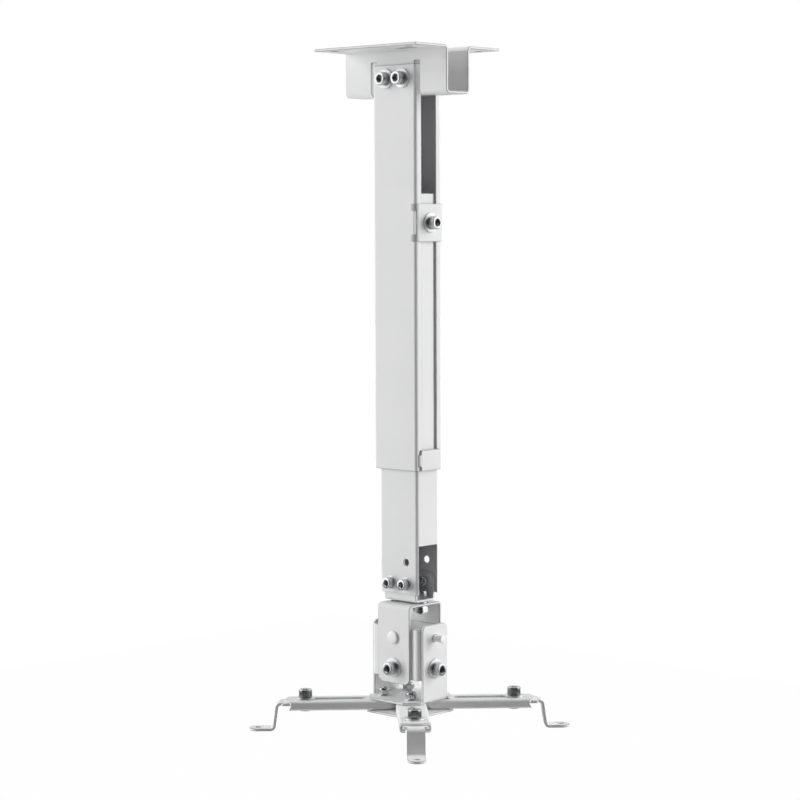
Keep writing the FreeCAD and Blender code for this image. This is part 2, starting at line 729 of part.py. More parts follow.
def make_arm(side):
    """C-shaped channel, mouth down: round inner end, inward lips, a long slot in its back."""
    body = new_body("arm_" + side)
    width, depth = size("arm_width"), size("arm_depth")
    half = width / 2
    thick = size("arm_sheet")
    reach = size("arm_reach")
    beyond = reach + width
    outer = new_sketch(body, "XY_Plane")
    draw_slot(outer, (ZERO, ZERO), (beyond, ZERO), width)
    pad(body, outer, depth, reverse=True)
    round_edges(body, size("arm_bend"), "x", [(half, ZERO), (half, -depth)])
    cavity = new_sketch(body, "XY_Plane", -thick)
    draw_slot(cavity, (ZERO, ZERO), (beyond, ZERO), width - thick * 2)
    pocket(body, cavity, depth - thick * 2)
    round_edges(body, size("arm_bend") - thick, "x", [
        (half - thick, -thick), (half - thick, thick - depth)])
    mouth = new_sketch(body, "XY_Plane", thick - depth)
    draw_slot(mouth, (ZERO, ZERO), (beyond, ZERO), size("arm_mouth"))
    pocket(body, mouth, thick * 2)

    bulge = size("arm_end_bulge")
    crown = (half * half + bulge * bulge) / (bulge * 2)
    round_end = new_sketch(body, "XY_Plane")
    draw_sector(round_end, (reach + bulge - crown, ZERO), (crown, crown + width * 2), (-50, 50))
    pocket(body, round_end, size("arm_end_step"))
    flare = new_sketch(body, "XZ_Plane")
    low, high = -depth, -size("arm_end_step")
    draw_outline(flare, [(reach, high), (reach + size("arm_end_flare"), low),
                         (beyond + width, low), (beyond + width, high)])
    pocket(body, flare)

    openings = new_sketch(body, "XY_Plane")
    draw_circle(openings, ZERO, ZERO, size("m5") + size("arm_pivot_play") * 2)
    draw_slot(openings, (size("arm_slot_start"), ZERO), (size("arm_slot_end"), ZERO), m6_hole)
    pocket(body, openings, thick * 2)
    place_on_arm(body, side)


def make_foot(side):
    """Z-shaped strip: wide head in the arm, narrow leg through its mouth, round-ended pad."""
    body = new_body("foot_" + side)
    thick = size("foot_sheet")
    top = -size("arm_sheet") - size("arm_play")
    pad_top = top - size("foot_drop") + thick
    start, tip = size("foot_start"), size("foot_tip_reach")
    leg, lean = size("foot_leg_reach"), size("foot_leg_lean")
    drop = top - pad_top
    shift = lean * thick / drop
    head_half = size("arm_width") / 2 - size("arm_sheet") - size("foot_side_play")
    sketch = new_sketch(body, "XZ_Plane")
    draw_outline(sketch, [
        (start, top), (leg, top), (leg + lean, pad_top), (tip, pad_top),
        (tip, pad_top - thick), (leg + lean - thick + shift, pad_top - thick),
        (leg - thick + shift, top - thick), (start, top - thick)])
    pad(body, sketch, head_half * 2, both_sides=True)
    bend = size("foot_bend")
    round_edges(body, bend, "y", [(leg, top), (leg + lean - thick + shift, pad_top - thick)])
    round_edges(body, bend - thick, "y", [(leg + lean, pad_top), (leg - thick + shift, top - thick)])
    half = size("foot_width") / 2
    shoulder = leg - bend - size("arm_play")
    flanks = new_sketch(body, "XY_Plane")
    draw_box(flanks, shoulder, tip * 1.1, half, head_half * 1.1)
    draw_box(flanks, shoulder, tip * 1.1, head_half * -1.1, -half)
    pocket(body, flanks)
    round_edges(body, size("foot_shoulder"), "z", [(shoulder, head_half), (shoulder, -head_half)])
    round_edges(body, half * 0.97, "z", [(tip, -half), (tip, half)])
    round_edges(body, size("foot_corner"), "z", [(start, -head_half), (start, head_half)])
    holes = new_sketch(body, "XY_Plane")
    draw_circle(holes, size("foot_screw_reach"), ZERO, m6_hole)
    draw_circle(holes, tip - half, ZERO, size("foot_hole_dia"))
    pocket(body, holes)
    place_on_arm(body, side)


# Fasteners: one master of each kind, at the origin with its bearing face on z = 0

def primitive(kind, name, **lengths):
    thing = doc.addObject("Part::" + kind, name)
    for prop, length in lengths.items():
        thing.setExpression(prop, length.formula)
    return thing


def lift(thing, z):
    thing.Placement = Placement(Vector(0, 0, z.value), Rotation())
    thing.setExpression("Placement.Base.z", z.formula)


def master_screw(name, thread, length):
    """Socket cap screw: its head rises from z = 0 and its shank hangs below."""
    radius = size(thread + "_head_dia") / 2
    tall = size(thread + "_head")
    bevel = size("head_bevel")
    head = primitive("Cylinder", name + "_head", Radius=radius, Height=tall - bevel)
    crown = primitive("Cone", name + "_crown", Radius1=radius, Radius2=radius - bevel, Height=bevel)
    lift(crown, tall - bevel)
    shank = primitive("Cylinder", name + "_shank", Radius=size(thread) / 2, Height=length)
    lift(shank, -length)
    solid = doc.addObject("Part::MultiFuse", name + "_solid")
    solid.Shapes = [head, crown, shank]
    socket = primitive("Prism", name + "_socket", Height=size("key_depth") * 2,
                       Circumradius=size(thread + "_key") / 2 * HEX_CORNER)
    socket.Polygon = 6
    lift(socket, tall - size("key_depth"))
    screw = doc.addObject("Part::Cut", name)
    screw.Base, screw.Tool = solid, socket
    return screw


def master_ring(name, outer_dia, bore, thick):
    ring = doc.addObject("Part::Cut", name)
    ring.Base = primitive("Cylinder", name + "_disc", Radius=outer_dia / 2, Height=thick)
    ring.Tool = primitive("Cylinder", name + "_bore", Radius=bore / 2, Height=thick)
    return ring


def master_nut(name, thread, tall):
    """Hexagon nut that stands on z = 0."""
    nut = doc.addObject("Part::Cut", name)
    body = primitive("Prism", name + "_hex", Height=tall,
                     Circumradius=size(thread + "_nut_flats") / 2 * HEX_CORNER)
    body.Polygon = 6
    nut.Base = body
    nut.Tool = primitive("Cylinder", name + "_bore", Height=tall,
                         Radius=size(thread) / 2 + size("thread_play"))
    return nut


def group(name, master, spots):
    """One node of equal fasteners: each spot is a point, bound, and the way the head faces."""
    links = []
    for number, (x, y, z, facing) in enumerate(spots, start=1):
        link = doc.addObject("App::Link", "%s_%d" % (name, number))
        link.LinkedObject = master
        link.Placement = Placement(Vector(x.value, y.value, z.value), Rotation(UP, Vector(*facing)))
        for axis, length in (("x", x), ("y", y), ("z", z)):
            link.setExpression("Placement.Base." + axis, length.formula)
        links.append(link)
    node = doc.addObject("Part::Compound", name)
    node.Label = name
    node.Links = links
    NODES.append(node)
    return node


def front_and_back(xs, plane, z):
    """Spots on two faces at -plane and +plane across Y, facing outwards."""
    return [(x, plane * side, z, (0, side, 0)) for side in (-1, 1) for x in xs]


def inside_faces(xs, plane, z):
    """The same spots, facing inwards."""
    return [(x, plane * side, z, (0, -side, 0)) for side in (-1, 1) for x in xs]


def make_column_fasteners():
    xs = [size("column_screw_dx") * side / 2 for side in (-1, 1)]
    z = size("column_screw_z")
    washer = size("m6_washer")
    grip = washer + half_tube_d - wall_plane + size("bracket_sheet")
    screw = master_screw("column_screw_master", "m6", grip + size("m6_nut") + size("tip_length"))
    ring = master_ring("column_washer_master", size("m6_washer_dia"), m6_hole, washer)
    nut = master_nut("column_nut_master", "m6", size("m6_nut"))
    group("column_washers", ring, front_and_back(xs, half_tube_d, z))
    group("column_screws", screw, front_and_back(xs, half_tube_d + washer, z))
    group("column_nuts", nut, inside_faces(xs, wall_plane - size("bracket_sheet"), z))
    return ring, nut


def make_clamp_fasteners(ring, nut):
    washer = size("m6_washer")
    inner_wall_x = inner_face_x - size("inner_wall")
    grip = washer + clamp_out_x - inner_wall_x
    screw = master_screw("clamp_screw_master", "m6", grip + size("m6_nut") + size("tip_length"))
    group("clamp_washer", ring, [(clamp_out_x, ZERO, clamp_z, (1, 0, 0))])
    group("clamp_screw", screw, [(clamp_out_x + washer, ZERO, clamp_z, (1, 0, 0))])
    group("clamp_nut", nut, [(inner_wall_x, ZERO, clamp_z, (-1, 0, 0))])


def make_bracket_fasteners():
    xs = [inner_x + size("bracket_screw_dx") * side / 2 for side in (-1, 1)]
    washer = size("m5_washer")
    tab = swivel_plane - size("swivel_sheet")
    grip = washer + half_inner_d - tab
    screw = master_screw("bracket_screw_master", "m5", grip + size("m5_nut") + size("tip_length") / 2)
    ring = master_ring("bracket_washer_master", size("m5_washer_dia"), m5_hole, washer)
    nut = master_nut("bracket_nut_master", "m5", size("m5_nut"))
    group("bracket_washers", ring, front_and_back(xs, half_inner_d, bracket_screw_z))
    group("bracket_screws", screw, front_and_back(xs, half_inner_d + washer, bracket_screw_z))
    group("bracket_nuts", nut, inside_faces(xs, tab, bracket_screw_z))


def make_pan_fasteners(nut):
    xs = [inner_x + size("pan_bolt_radius") * side for side in (-1, 1)]
    floor = swivel_bottom_z + size("swivel_sheet")
    under = yoke_top_z - size("yoke_sheet") - size("turn_gap")
    grip = floor - under
    screw = master_screw("pan_bolt_master", "m6", grip + size("m6_nut") + size("tip_length"))
    spacer = master_ring("pan_spacer_master", size("m6_nut_flats"), m6_hole,
                         size("pan_washer_thick"))
    group("pan_bolts", screw, [(x, ZERO, floor, (0, 0, 1)) for x in xs])
    group("pan_spacers", spacer, [(x, ZERO, swivel_bottom_z, (0, 0, -1)) for x in xs])
    group("pan_nuts", nut, [(x, ZERO, under, (0, 0, -1)) for x in xs])


def make_tilt_fasteners(ring, nut):
    """Pivots and locking screws of both tilts, on the yokes' faces."""
    washer = size("m6_washer")
    gap = size("turn_gap")
    block_in_y = half_block_d - size("block_wall") - gap
    block_in_x = half_block_w - size("block_wall") - gap
    tail = size("m6_nut") + size("tip_length") / 2
    roll_screw = master_screw("roll_screw_master", "m6", washer + half_yoke_d - block_in_y + tail)
    group("roll_washers", ring, front_and_back([inner_x], half_yoke_d, tilt_screw_z))
    group("roll_screws", roll_screw, front_and_back([inner_x], half_yoke_d + washer, tilt_screw_z))
    group("roll_nuts", nut, inside_faces([inner_x], block_in_y, tilt_screw_z))

    def sideways(offset, inwards=False):
        return [(inner_x + offset * side, ZERO, tilt_screw_z, (-side if inwards else side, 0, 0))
                for side in (-1, 1)]

    pitch_screw = master_screw("pitch_screw_master", "m6", washer + half_lower_w - block_in_x + tail)
    group("pitch_washers", ring, sideways(half_lower_w))
    group("pitch_screws", pitch_screw, sideways(half_lower_w + washer))
    group("pitch_nuts", nut, sideways(block_in_x, inwards=True))


def master_rivet(name, head, shank_dia, length):
    """Low round head, given by diameter and height, on z = 0 with a plain shank below."""
    head_dia, head_height = head
    head = primitive("Cylinder", name + "_head", Radius=head_dia / 2, Height=head_height)
    shank = primitive("Cylinder", name + "_shank", Radius=shank_dia / 2, Height=length)
    lift(shank, -length)
    rivet = doc.addObject("Part::MultiFuse", name)
    rivet.Shapes = [head, shank]
    return rivet


def make_pivots():
    block_in_y = half_block_d - size("block_wall")
    block_in_x = half_block_w - size("block_wall")
    head = size("rivet_head_dia"), size("rivet_head_thick")
    long_way = half_yoke_d - block_in_y + size("tip_length")
    rivet = master_rivet("roll_rivet_master", head, size("rivet_dia"), long_way)
    group("roll_rivets", rivet, front_and_back([inner_x], half_yoke_d, tilt_z))
    pin = master_rivet("pitch_pin_master", head, size("rivet_dia"),
                       half_lower_w + size("pin_reach") - block_in_x)
    group("pitch_pins", pin, [(inner_x + block_in_x * side, ZERO, tilt_z, (-side, 0, 0))
                              for side in (-1, 1)])


def make_hub_fasteners():
    spots = [(inner_x + size("hub_bolt_offset") * x, size("hub_bolt_offset") * y)
             for x in (-1, 1) for y in (-1, 1)]
    plate_under = plate_top_z - size("plate_sheet")
    washer = size("m5_washer")
    rise = lower_base_z + washer + size("hub_nut_height") + size("head_bevel") - plate_under
    bolt = master_rivet("hub_bolt_master", (size("stud_head_dia"), size("stud_head")),
                        size("m5"), rise)
    ring = master_ring("hub_washer_master", size("m5_washer_dia"), m5_hole, washer)
    nut = master_nut("hub_nut_master", "m5", size("hub_nut_height"))
    group("hub_bolts", bolt, [(x, y, plate_under, (0, 0, -1)) for x, y in spots])
    group("hub_washers", ring, [(x, y, lower_base_z, (0, 0, 1)) for x, y in spots])
    group("hub_nuts", nut, [(x, y, lower_base_z + washer, (0, 0, 1)) for x, y in spots])


def make_foot_fasteners(ring, nut):
    washer = size("m6_washer")
    strip_under = size("arm_sheet") + size("arm_play") + size("foot_sheet")
    length = washer + strip_under + size("m6_nut") - size("thread_play") * 2
    screw = master_screw("foot_screw_master", "m6", length)
    for side, turn in ARM_TURNS.items():
        along = Rotation(UP, turn).multVec(Vector(1, 0, 0))
        across_x = 1 if side in ("right", "front") else -1
        across_y = 1 if side in ("right", "back") else -1
        x = inner_x + size("hub_bolt_offset") * across_x + size("foot_screw_reach") * along.x
        y = size("hub_bolt_offset") * across_y + size("foot_screw_reach") * along.y
        group("foot_washer_" + side, ring, [(x, y, arm_top_z, (0, 0, 1))])
        group("foot_screw_" + side, screw, [(x, y, arm_top_z + washer, (0, 0, 1))])
        group("foot_nut_" + side, nut, [(x, y, arm_top_z - strip_under, (0, 0, -1))])


make_ceiling_bracket()
make_outer_tube()
make_inner_tube()
make_clamp_plate()
make_swivel_bracket()
make_upper_yoke()
make_tilt_block()
make_lower_yoke()
make_hub_plate()
for arm_side in ARM_TURNS:
    make_arm(arm_side)
    make_foot(arm_side)
m6_ring, m6_nut = make_column_fasteners()
make_clamp_fasteners(m6_ring, m6_nut)
make_bracket_fasteners()
make_pan_fasteners(m6_nut)
make_tilt_fasteners(m6_ring, m6_nut)
make_pivots()
make_hub_fasteners()
make_foot_fasteners(m6_ring, m6_nut)

doc.recompute()
for item in doc.Objects:
    if "Invalid" in item.State or "Error" in item.State:
        raise RuntimeError("%s failed: %s" % (item.Label, item.State))
os.makedirs("parts", exist_ok=True)
for node in NODES:
    shape = node.Shape
    if shape.isNull() or not shape.isValid() or not shape.Solids:
        raise RuntimeError("%s has no valid solid" % node.Label)
    shape.exportStep(os.path.join("parts", node.Label + ".step"))
print(len(NODES), "nodes written")
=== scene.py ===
# %% [markdown]
# # A white ceiling mount for a projector
# The real object is folded steel sheet with a white powder coat, held together by bright zinc
# screws. Its exact shapes come from a CAD model, which this script loads as a fixed frame. Blender
# then adds what CAD leaves out: rounded sheet edges, knurled screw heads, threads, finishes, light
# and a camera.

# %% Load the frame
import json
import math

import bmesh
import bpy
from mathutils import Matrix, Vector
from mathutils.bvhtree import BVHTree

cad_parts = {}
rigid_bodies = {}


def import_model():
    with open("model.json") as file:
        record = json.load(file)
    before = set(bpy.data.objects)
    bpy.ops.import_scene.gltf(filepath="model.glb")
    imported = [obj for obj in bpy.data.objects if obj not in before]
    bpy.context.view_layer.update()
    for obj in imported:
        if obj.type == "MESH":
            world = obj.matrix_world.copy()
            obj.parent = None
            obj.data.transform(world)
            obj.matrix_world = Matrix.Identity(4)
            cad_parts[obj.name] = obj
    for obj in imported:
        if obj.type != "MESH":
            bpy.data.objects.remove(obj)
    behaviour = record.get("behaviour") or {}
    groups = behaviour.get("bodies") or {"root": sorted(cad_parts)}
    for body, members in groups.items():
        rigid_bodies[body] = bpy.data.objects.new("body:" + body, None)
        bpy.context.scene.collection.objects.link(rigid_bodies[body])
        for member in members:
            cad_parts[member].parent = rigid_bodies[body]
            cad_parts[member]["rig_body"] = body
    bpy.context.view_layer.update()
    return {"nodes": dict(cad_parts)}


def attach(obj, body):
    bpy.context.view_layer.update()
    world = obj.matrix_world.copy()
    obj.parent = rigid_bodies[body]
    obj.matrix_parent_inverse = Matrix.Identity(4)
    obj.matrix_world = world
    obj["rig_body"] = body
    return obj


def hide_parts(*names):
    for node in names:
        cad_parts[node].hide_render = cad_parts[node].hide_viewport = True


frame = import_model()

MM = 0.001
NODES = frame["nodes"]

# %% [markdown]
# ## The camera
# A product photograph is taken from far away with a long lens, so that upright edges stay upright.
# The numbers were found by matching corners of the tubes and plates in the picture. A camera could
# be aimed with a constraint, but a rotation written as three turns is exact and easy to read: first
# around the vertical, then down, then a hair of roll.

# %% Place the camera
CAMERA_YAW = math.radians(42.58)
CAMERA_PITCH = math.radians(4.22)
CAMERA_ROLL = math.radians(-0.2)
CAMERA_DISTANCE = 1754.43 * MM
CAMERA_TARGET = Vector((0, 0, -262 * MM))
FOCAL_PIXELS = 2328.44
PICTURE_PIXELS = 800
SENSOR_MM = 36.0
SHIFT_PIXELS = (-8.0, -0.46)

camera_turn = (Matrix.Rotation(CAMERA_YAW, 4, "Z")
               @ Matrix.Rotation(math.pi / 2 - CAMERA_PITCH, 4, "X")
               @ Matrix.Rotation(CAMERA_ROLL, 4, "Z"))
camera = bpy.data.objects.new("camera", bpy.data.cameras.new("camera"))
bpy.context.scene.collection.objects.link(camera)
back = camera_turn.to_3x3() @ Vector((0, 0, 1))
camera.matrix_world = Matrix.Translation(CAMERA_TARGET + back * CAMERA_DISTANCE) @ camera_turn
camera.data.sensor_width = SENSOR_MM
camera.data.lens = FOCAL_PIXELS / PICTURE_PIXELS * SENSOR_MM
camera.data.shift_x = SHIFT_PIXELS[0] / PICTURE_PIXELS
camera.data.shift_y = SHIFT_PIXELS[1] / PICTURE_PIXELS
bpy.context.scene.camera = camera
print("camera at", [round(part, 3) for part in camera.matrix_world.translation])

# %% [markdown]
# ## Small helpers for node trees
# Materials and geometry trees are both graphs of nodes. Building them by hand in code gets long, so
# one helper adds a node, sets its properties and fills its sockets. A socket value may be a number
# or another node's output, and then it becomes a link.

# %% Add nodes with one call
def add_node(tree, kind, properties=None, **sockets):
    """Add a node; sockets are named in lower case with underscores, or in_N for input number N."""
    node = tree.nodes.new(kind)
    for name, value in (properties or {}).items():
        setattr(node, name, value)
    by_name = {}
    for socket in node.inputs:
        by_name.setdefault(socket.name.lower().replace(" ", "_"), socket)
    for name, value in sockets.items():
        socket = node.inputs[int(name[3:])] if name.startswith("in_") else by_name[name]
        if isinstance(value, bpy.types.NodeSocket):
            tree.links.new(value, socket)
        else:
            socket.default_value = value
    return node


def new_material(name):
    material = bpy.data.materials.new(name)
    material.use_nodes = True
    tree = material.node_tree
    tree.nodes.clear()
    return material, tree


print("node helper ready")

# %% [markdown]
# ## The studio
# The picture shows faces towards the left and the right as bright, and whatever looks straight at
# the camera as darker: the column's round corner is a dark band, and so is the front foot's leg.
# That is the light of two big soft boxes at the sides and none beside the camera. A lamp above and
# a weak one below fill the flat plates. No lamp is seen by the camera, which may look from any side
# at another time, nor by a reflection, because a bare lamp would burn white rings into the screws.

# %% Soft boxes
AIM_HEIGHT = -0.26


def aim_lamp(name, azimuth, height, distance, wide, tall, watts):
    """A soft box on a circle round the object; azimuth is counted from the camera, to its right."""
    direction = CAMERA_YAW - math.pi / 2 + math.radians(azimuth)
    data = bpy.data.lights.new(name, "AREA")
    data.shape = "RECTANGLE"
    data.size, data.size_y, data.energy = wide, tall, watts
    lamp = bpy.data.objects.new(name, data)
    bpy.context.scene.collection.objects.link(lamp)
    lamp.location = (math.cos(direction) * distance, math.sin(direction) * distance, height)
    towards = Vector((0, 0, AIM_HEIGHT)) - lamp.location
    lamp.rotation_mode = "QUATERNION"
    lamp.rotation_quaternion = towards.to_track_quat("-Z", "Y")
    lamp.visible_glossy = False
    lamp.visible_camera = False
    return lamp


# Each row: name, azimuth in degrees, height, distance and two sides in metres, and watts.
lamps = [
    aim_lamp("box_left", -92, 0.0, 2.0, 0.6, 2.2, 34),
    aim_lamp("box_right", 93, 0.1, 2.0, 0.6, 2.2, 39),
    aim_lamp("box_top", 180, 1.9, 0.35, 1.6, 1.6, 16),
    aim_lamp("box_under", 180, -1.35, 0.5, 1.0, 1.0, 5),
]
print(len(lamps), "lamps")

# %% [markdown]
# ## Two painted rooms
# A white object and bright screws show the room around them. A photographer would hang cloths and
# cards there. Here a colour ramp paints the room from behind the object to the camera's side: the
# dot product of a ray's direction and the camera's tells how far round it looks. A picture of a
# studio could be wrapped round the scene instead, but a ramp needs no file and its marks are easy
# to move.

# %% Paint a room
world = bpy.data.worlds.new("studio")
bpy.context.scene.world = world
world.use_nodes = True
sky = world.node_tree
sky.nodes.clear()
facing = add_node(sky, "ShaderNodeVectorMath", {"operation": "DOT_PRODUCT"},
                  in_0=add_node(sky, "ShaderNodeTexCoord").outputs["Generated"],
                  in_1=(math.sin(CAMERA_YAW), -math.cos(CAMERA_YAW), 0.0))
half = add_node(sky, "ShaderNodeMapRange", value=facing.outputs["Value"],
                from_min=-1.0, from_max=1.0)


def painted_room(marks, strength):
    """A backdrop whose grey runs from behind the object (0) to the camera's side (1)."""
    ramp = add_node(sky, "ShaderNodeValToRGB", fac=half.outputs["Result"])
    for place, grey in marks:
        mark = ramp.color_ramp.elements.new(place)
        mark.color = (grey, grey, grey, 1)
    ramp.color_ramp.elements.remove(ramp.color_ramp.elements[-1])
    return add_node(sky, "ShaderNodeBackground", color=ramp.outputs["Color"], strength=strength)


REFLECTED_ROOM = ((0.0, 0.5), (0.18, 0.45), (0.36, 1.0), (0.62, 1.0), (0.72, 0.05), (0.9, 0.02))
FILLING_ROOM = ((0.0, 0.25), (0.30, 0.40), (0.50, 1.0), (0.66, 1.0), (0.84, 0.30))
REFLECTION, FILL = 1.6, 0.48
walls = painted_room(REFLECTED_ROOM, REFLECTION)
dim = painted_room(FILLING_ROOM, FILL)
print("two rooms with", len(REFLECTED_ROOM), "and", len(FILLING_ROOM), "marks")

# %% [markdown]
# ## One world for each kind of ray
# The backdrop has to be white without throwing more light on the object. The Light Path node tells
# what kind of ray asks. Camera rays get plain white. Rays that carry diffuse light get the dim
# room, bright only at both sides, so that faces towards the camera stay a shade darker. Reflections
# get the other room, with bright side walls and a dark gap on the camera's side, and that contrast
# is what makes metal look like metal.

# %% World
rays = add_node(sky, "ShaderNodeLightPath")
white = add_node(sky, "ShaderNodeBackground", color=(1, 1, 1, 1), strength=1.0)
lit = add_node(sky, "ShaderNodeMixShader", in_0=rays.outputs["Is Glossy Ray"],
               in_1=dim.outputs[0], in_2=walls.outputs[0])
seen = add_node(sky, "ShaderNodeMath", {"operation": "MAXIMUM"},
                in_0=rays.outputs["Is Camera Ray"], in_1=rays.outputs["Is Transmission Ray"])
final = add_node(sky, "ShaderNodeMixShader", in_0=seen.outputs[0],
                 in_1=lit.outputs[0], in_2=white.outputs[0])
add_node(sky, "ShaderNodeOutputWorld", surface=final.outputs[0])
bpy.context.scene.view_settings.view_transform = "Standard"
print("world with", len(sky.nodes), "nodes")

# %% [markdown]
# ## Floor
# The mount hangs, so the floor lies well below it. It is a pale matt square that still gives back
# light from below. To the camera it is nearly all plain white, like the backdrop, with a small
# share of its own shading left, so that a shadow on it isn't lost. A shadow catcher could do that,
# but it needs a picture with see-through parts. The white is only for the camera, and the floor is
# therefore kept out of the search for light sources.

# %% Floor
FLOOR_Z = -1.6
FLOOR_HALF = 5.0
FLOOR_GREY = 0.62
WHITE_SHARE = 0.99
floor_mesh = bpy.data.meshes.new("floor")
corners = [(-FLOOR_HALF, -FLOOR_HALF, FLOOR_Z), (FLOOR_HALF, -FLOOR_HALF, FLOOR_Z),
           (FLOOR_HALF, FLOOR_HALF, FLOOR_Z), (-FLOOR_HALF, FLOOR_HALF, FLOOR_Z)]
floor_mesh.from_pydata(corners, [], [(0, 1, 2, 3)])
floor = bpy.data.objects.new("floor", floor_mesh)
bpy.context.scene.collection.objects.link(floor)
floor_material, tree = new_material("pale_floor")
rays = add_node(tree, "ShaderNodeLightPath")
matt = add_node(tree, "ShaderNodeBsdfDiffuse", color=(FLOOR_GREY, FLOOR_GREY, FLOOR_GREY, 1))
glow = add_node(tree, "ShaderNodeEmission", color=(1, 1, 1, 1), strength=1.0)
share = add_node(tree, "ShaderNodeMath", {"operation": "MULTIPLY"},
                 in_0=rays.outputs["Is Camera Ray"], in_1=WHITE_SHARE)
shaded = add_node(tree, "ShaderNodeMixShader", in_0=share.outputs[0],
                  in_1=matt.outputs[0], in_2=glow.outputs[0])
add_node(tree, "ShaderNodeOutputMaterial", surface=shaded.outputs[0])
floor_material.cycles.emission_sampling = "NONE"
floor_mesh.materials.append(floor_material)
print("floor at", FLOOR_Z, "m")

# %% [markdown]
# ## Powder coat
# Powder paint melts into a skin that is never quite flat. It has a fine orange-peel ripple about a
# millimetre long, a satin gloss that changes a little from place to place, and pinhead specks.
# Three noise textures on Object coordinates give these, because such a pattern stays fixed to the
# piece. A picture of paint would need a UV map on every sheet and would show its seams.

# %% Powder coat material
CLOUDS_PER_M, PEEL_PER_M, SPECKS_PER_M = 22.0, 900.0, 1500.0
PEEL_DEPTH, PEEL_STRENGTH = 0.0002, 0.05
SPECK_GREY, SPECK_SHARE = (0.42, 0.42, 0.42, 1), 0.06


def powder_coat(name, colour, shade, specular=0.5, smooth=0.36, rough=0.46):
    """Satin paint: colour and shade are its two near tones."""
    material, tree = new_material(name)
    place = add_node(tree, "ShaderNodeTexCoord").outputs["Object"]
    clouds = add_node(tree, "ShaderNodeTexNoise", vector=place, scale=CLOUDS_PER_M, detail=3.0)
    specks = add_node(tree, "ShaderNodeTexNoise", vector=place, scale=SPECKS_PER_M, detail=1.0)
    peel = add_node(tree, "ShaderNodeTexNoise", vector=place, scale=PEEL_PER_M,
                    detail=2.0, roughness=0.4)
    tone = add_node(tree, "ShaderNodeMix", {"data_type": "RGBA"},
                    in_0=clouds.outputs["Fac"], in_6=colour, in_7=shade)
    speck = add_node(tree, "ShaderNodeMapRange", value=specks.outputs["Fac"],
                     from_min=0.70, from_max=0.80, to_min=0.0, to_max=SPECK_SHARE)
    paint = add_node(tree, "ShaderNodeMix", {"data_type": "RGBA"},
                     in_0=speck.outputs["Result"], in_6=tone.outputs[2], in_7=SPECK_GREY)
    gloss = add_node(tree, "ShaderNodeMapRange", value=clouds.outputs["Fac"],
                     from_min=0.3, from_max=0.7, to_min=smooth, to_max=rough)
    ripple = add_node(tree, "ShaderNodeBump", strength=PEEL_STRENGTH, distance=PEEL_DEPTH,
                      height=peel.outputs["Fac"])
    surface = add_node(tree, "ShaderNodeBsdfPrincipled", base_color=paint.outputs[2],
                       roughness=gloss.outputs["Result"], normal=ripple.outputs["Normal"])
    surface.inputs["Specular IOR Level"].default_value = specular
    add_node(tree, "ShaderNodeOutputMaterial", surface=surface.outputs[0])
    return material


print("paint of", round(1000 / PEEL_PER_M, 1), "mm ripples")

# %% [markdown]
# ## The coats of this mount
# The powder is drawn on by an electric charge. Besides the white coat, lighter and darker copies of
# it paint light and shade. Painted light goes on faces that the lamps leave too dark. Painted shade
# goes inside tubes, on inner walls and along every rounded edge. A near-black painted shadow goes
# into small holes and along a tube's top edge. Rivets and pins get a glossier coat, whose lighter
# colour is painted light too. All of these are the one function with other tones, so that they
# share their grain.

# %% Coats
WHITE_COAT = powder_coat("white_powder_coat", (0.89, 0.89, 0.89, 1), (0.86, 0.865, 0.87, 1))
# painted light: a lighter copy of the white, for faces that the lamps leave too dark
PAINTED_LIGHT_COAT = powder_coat("full_powder_coat", (0.97, 0.97, 0.97, 1), (0.95, 0.95, 0.95, 1))
# painted shade: a darker copy of the white, for the bracket's inner walls and the clamp's ears
PAINTED_SHADE_COAT = powder_coat("dim_powder_coat", (0.68, 0.68, 0.68, 1), (0.62, 0.62, 0.62, 1))
# painted shade: a grey copy of the white, for the insides of the tubes and the swivel bracket
INSIDE_SHADE_COAT = powder_coat("thin_powder_coat", (0.66, 0.66, 0.67, 1), (0.54, 0.54, 0.55, 1))
# painted shade: a darker copy of the white for the rounded edge strips, a thin dark line along
# every edge
EDGE_SHADE_COAT = powder_coat("edge_powder_coat", (0.50, 0.50, 0.51, 1), (0.42, 0.42, 0.43, 1))
# painted shadow: near black, in the holes of the top plate and along the outer tube's top edge
SHADOW_BLACK_COAT = powder_coat("bare_punched_edge", (0.07, 0.07, 0.07, 1), (0.04, 0.04, 0.04, 1))
# a glossier coat for rivets and pins; its lighter colour is painted light
RIVET_LIGHT_COAT = powder_coat("rivet_paint", (0.97, 0.97, 0.97, 1), (0.95, 0.95, 0.95, 1),
                       specular=1.0, smooth=0.20, rough=0.30)
print(WHITE_COAT.name, "has", len(WHITE_COAT.node_tree.nodes), "nodes")

# %% [markdown]
# ## Zinc
# Small screws are plated in drums, so they come out bright but not like a mirror: the plate is a
# touch blue, and its gloss is patchy. A metal in Blender is the same shader with Metallic at one,
# and a noise drives its roughness. Shade is painted into sockets, knurl grooves and under the
# heads: the meshes carry a number on their points that says how much painted shade each ring gets,
# and the Attribute node reads it. Washers rub against each other in the drum and come out paler and
# more satin than screws.

# %% Zinc material
PATCHES_PER_M, GRAIN_PER_M = 420.0, 5200.0
GRAIN_DEPTH, GRAIN_STRENGTH = 0.00005, 0.08
# near black, the colour of the painted shade
SHADE_BLACK = (0.02, 0.02, 0.02, 1)


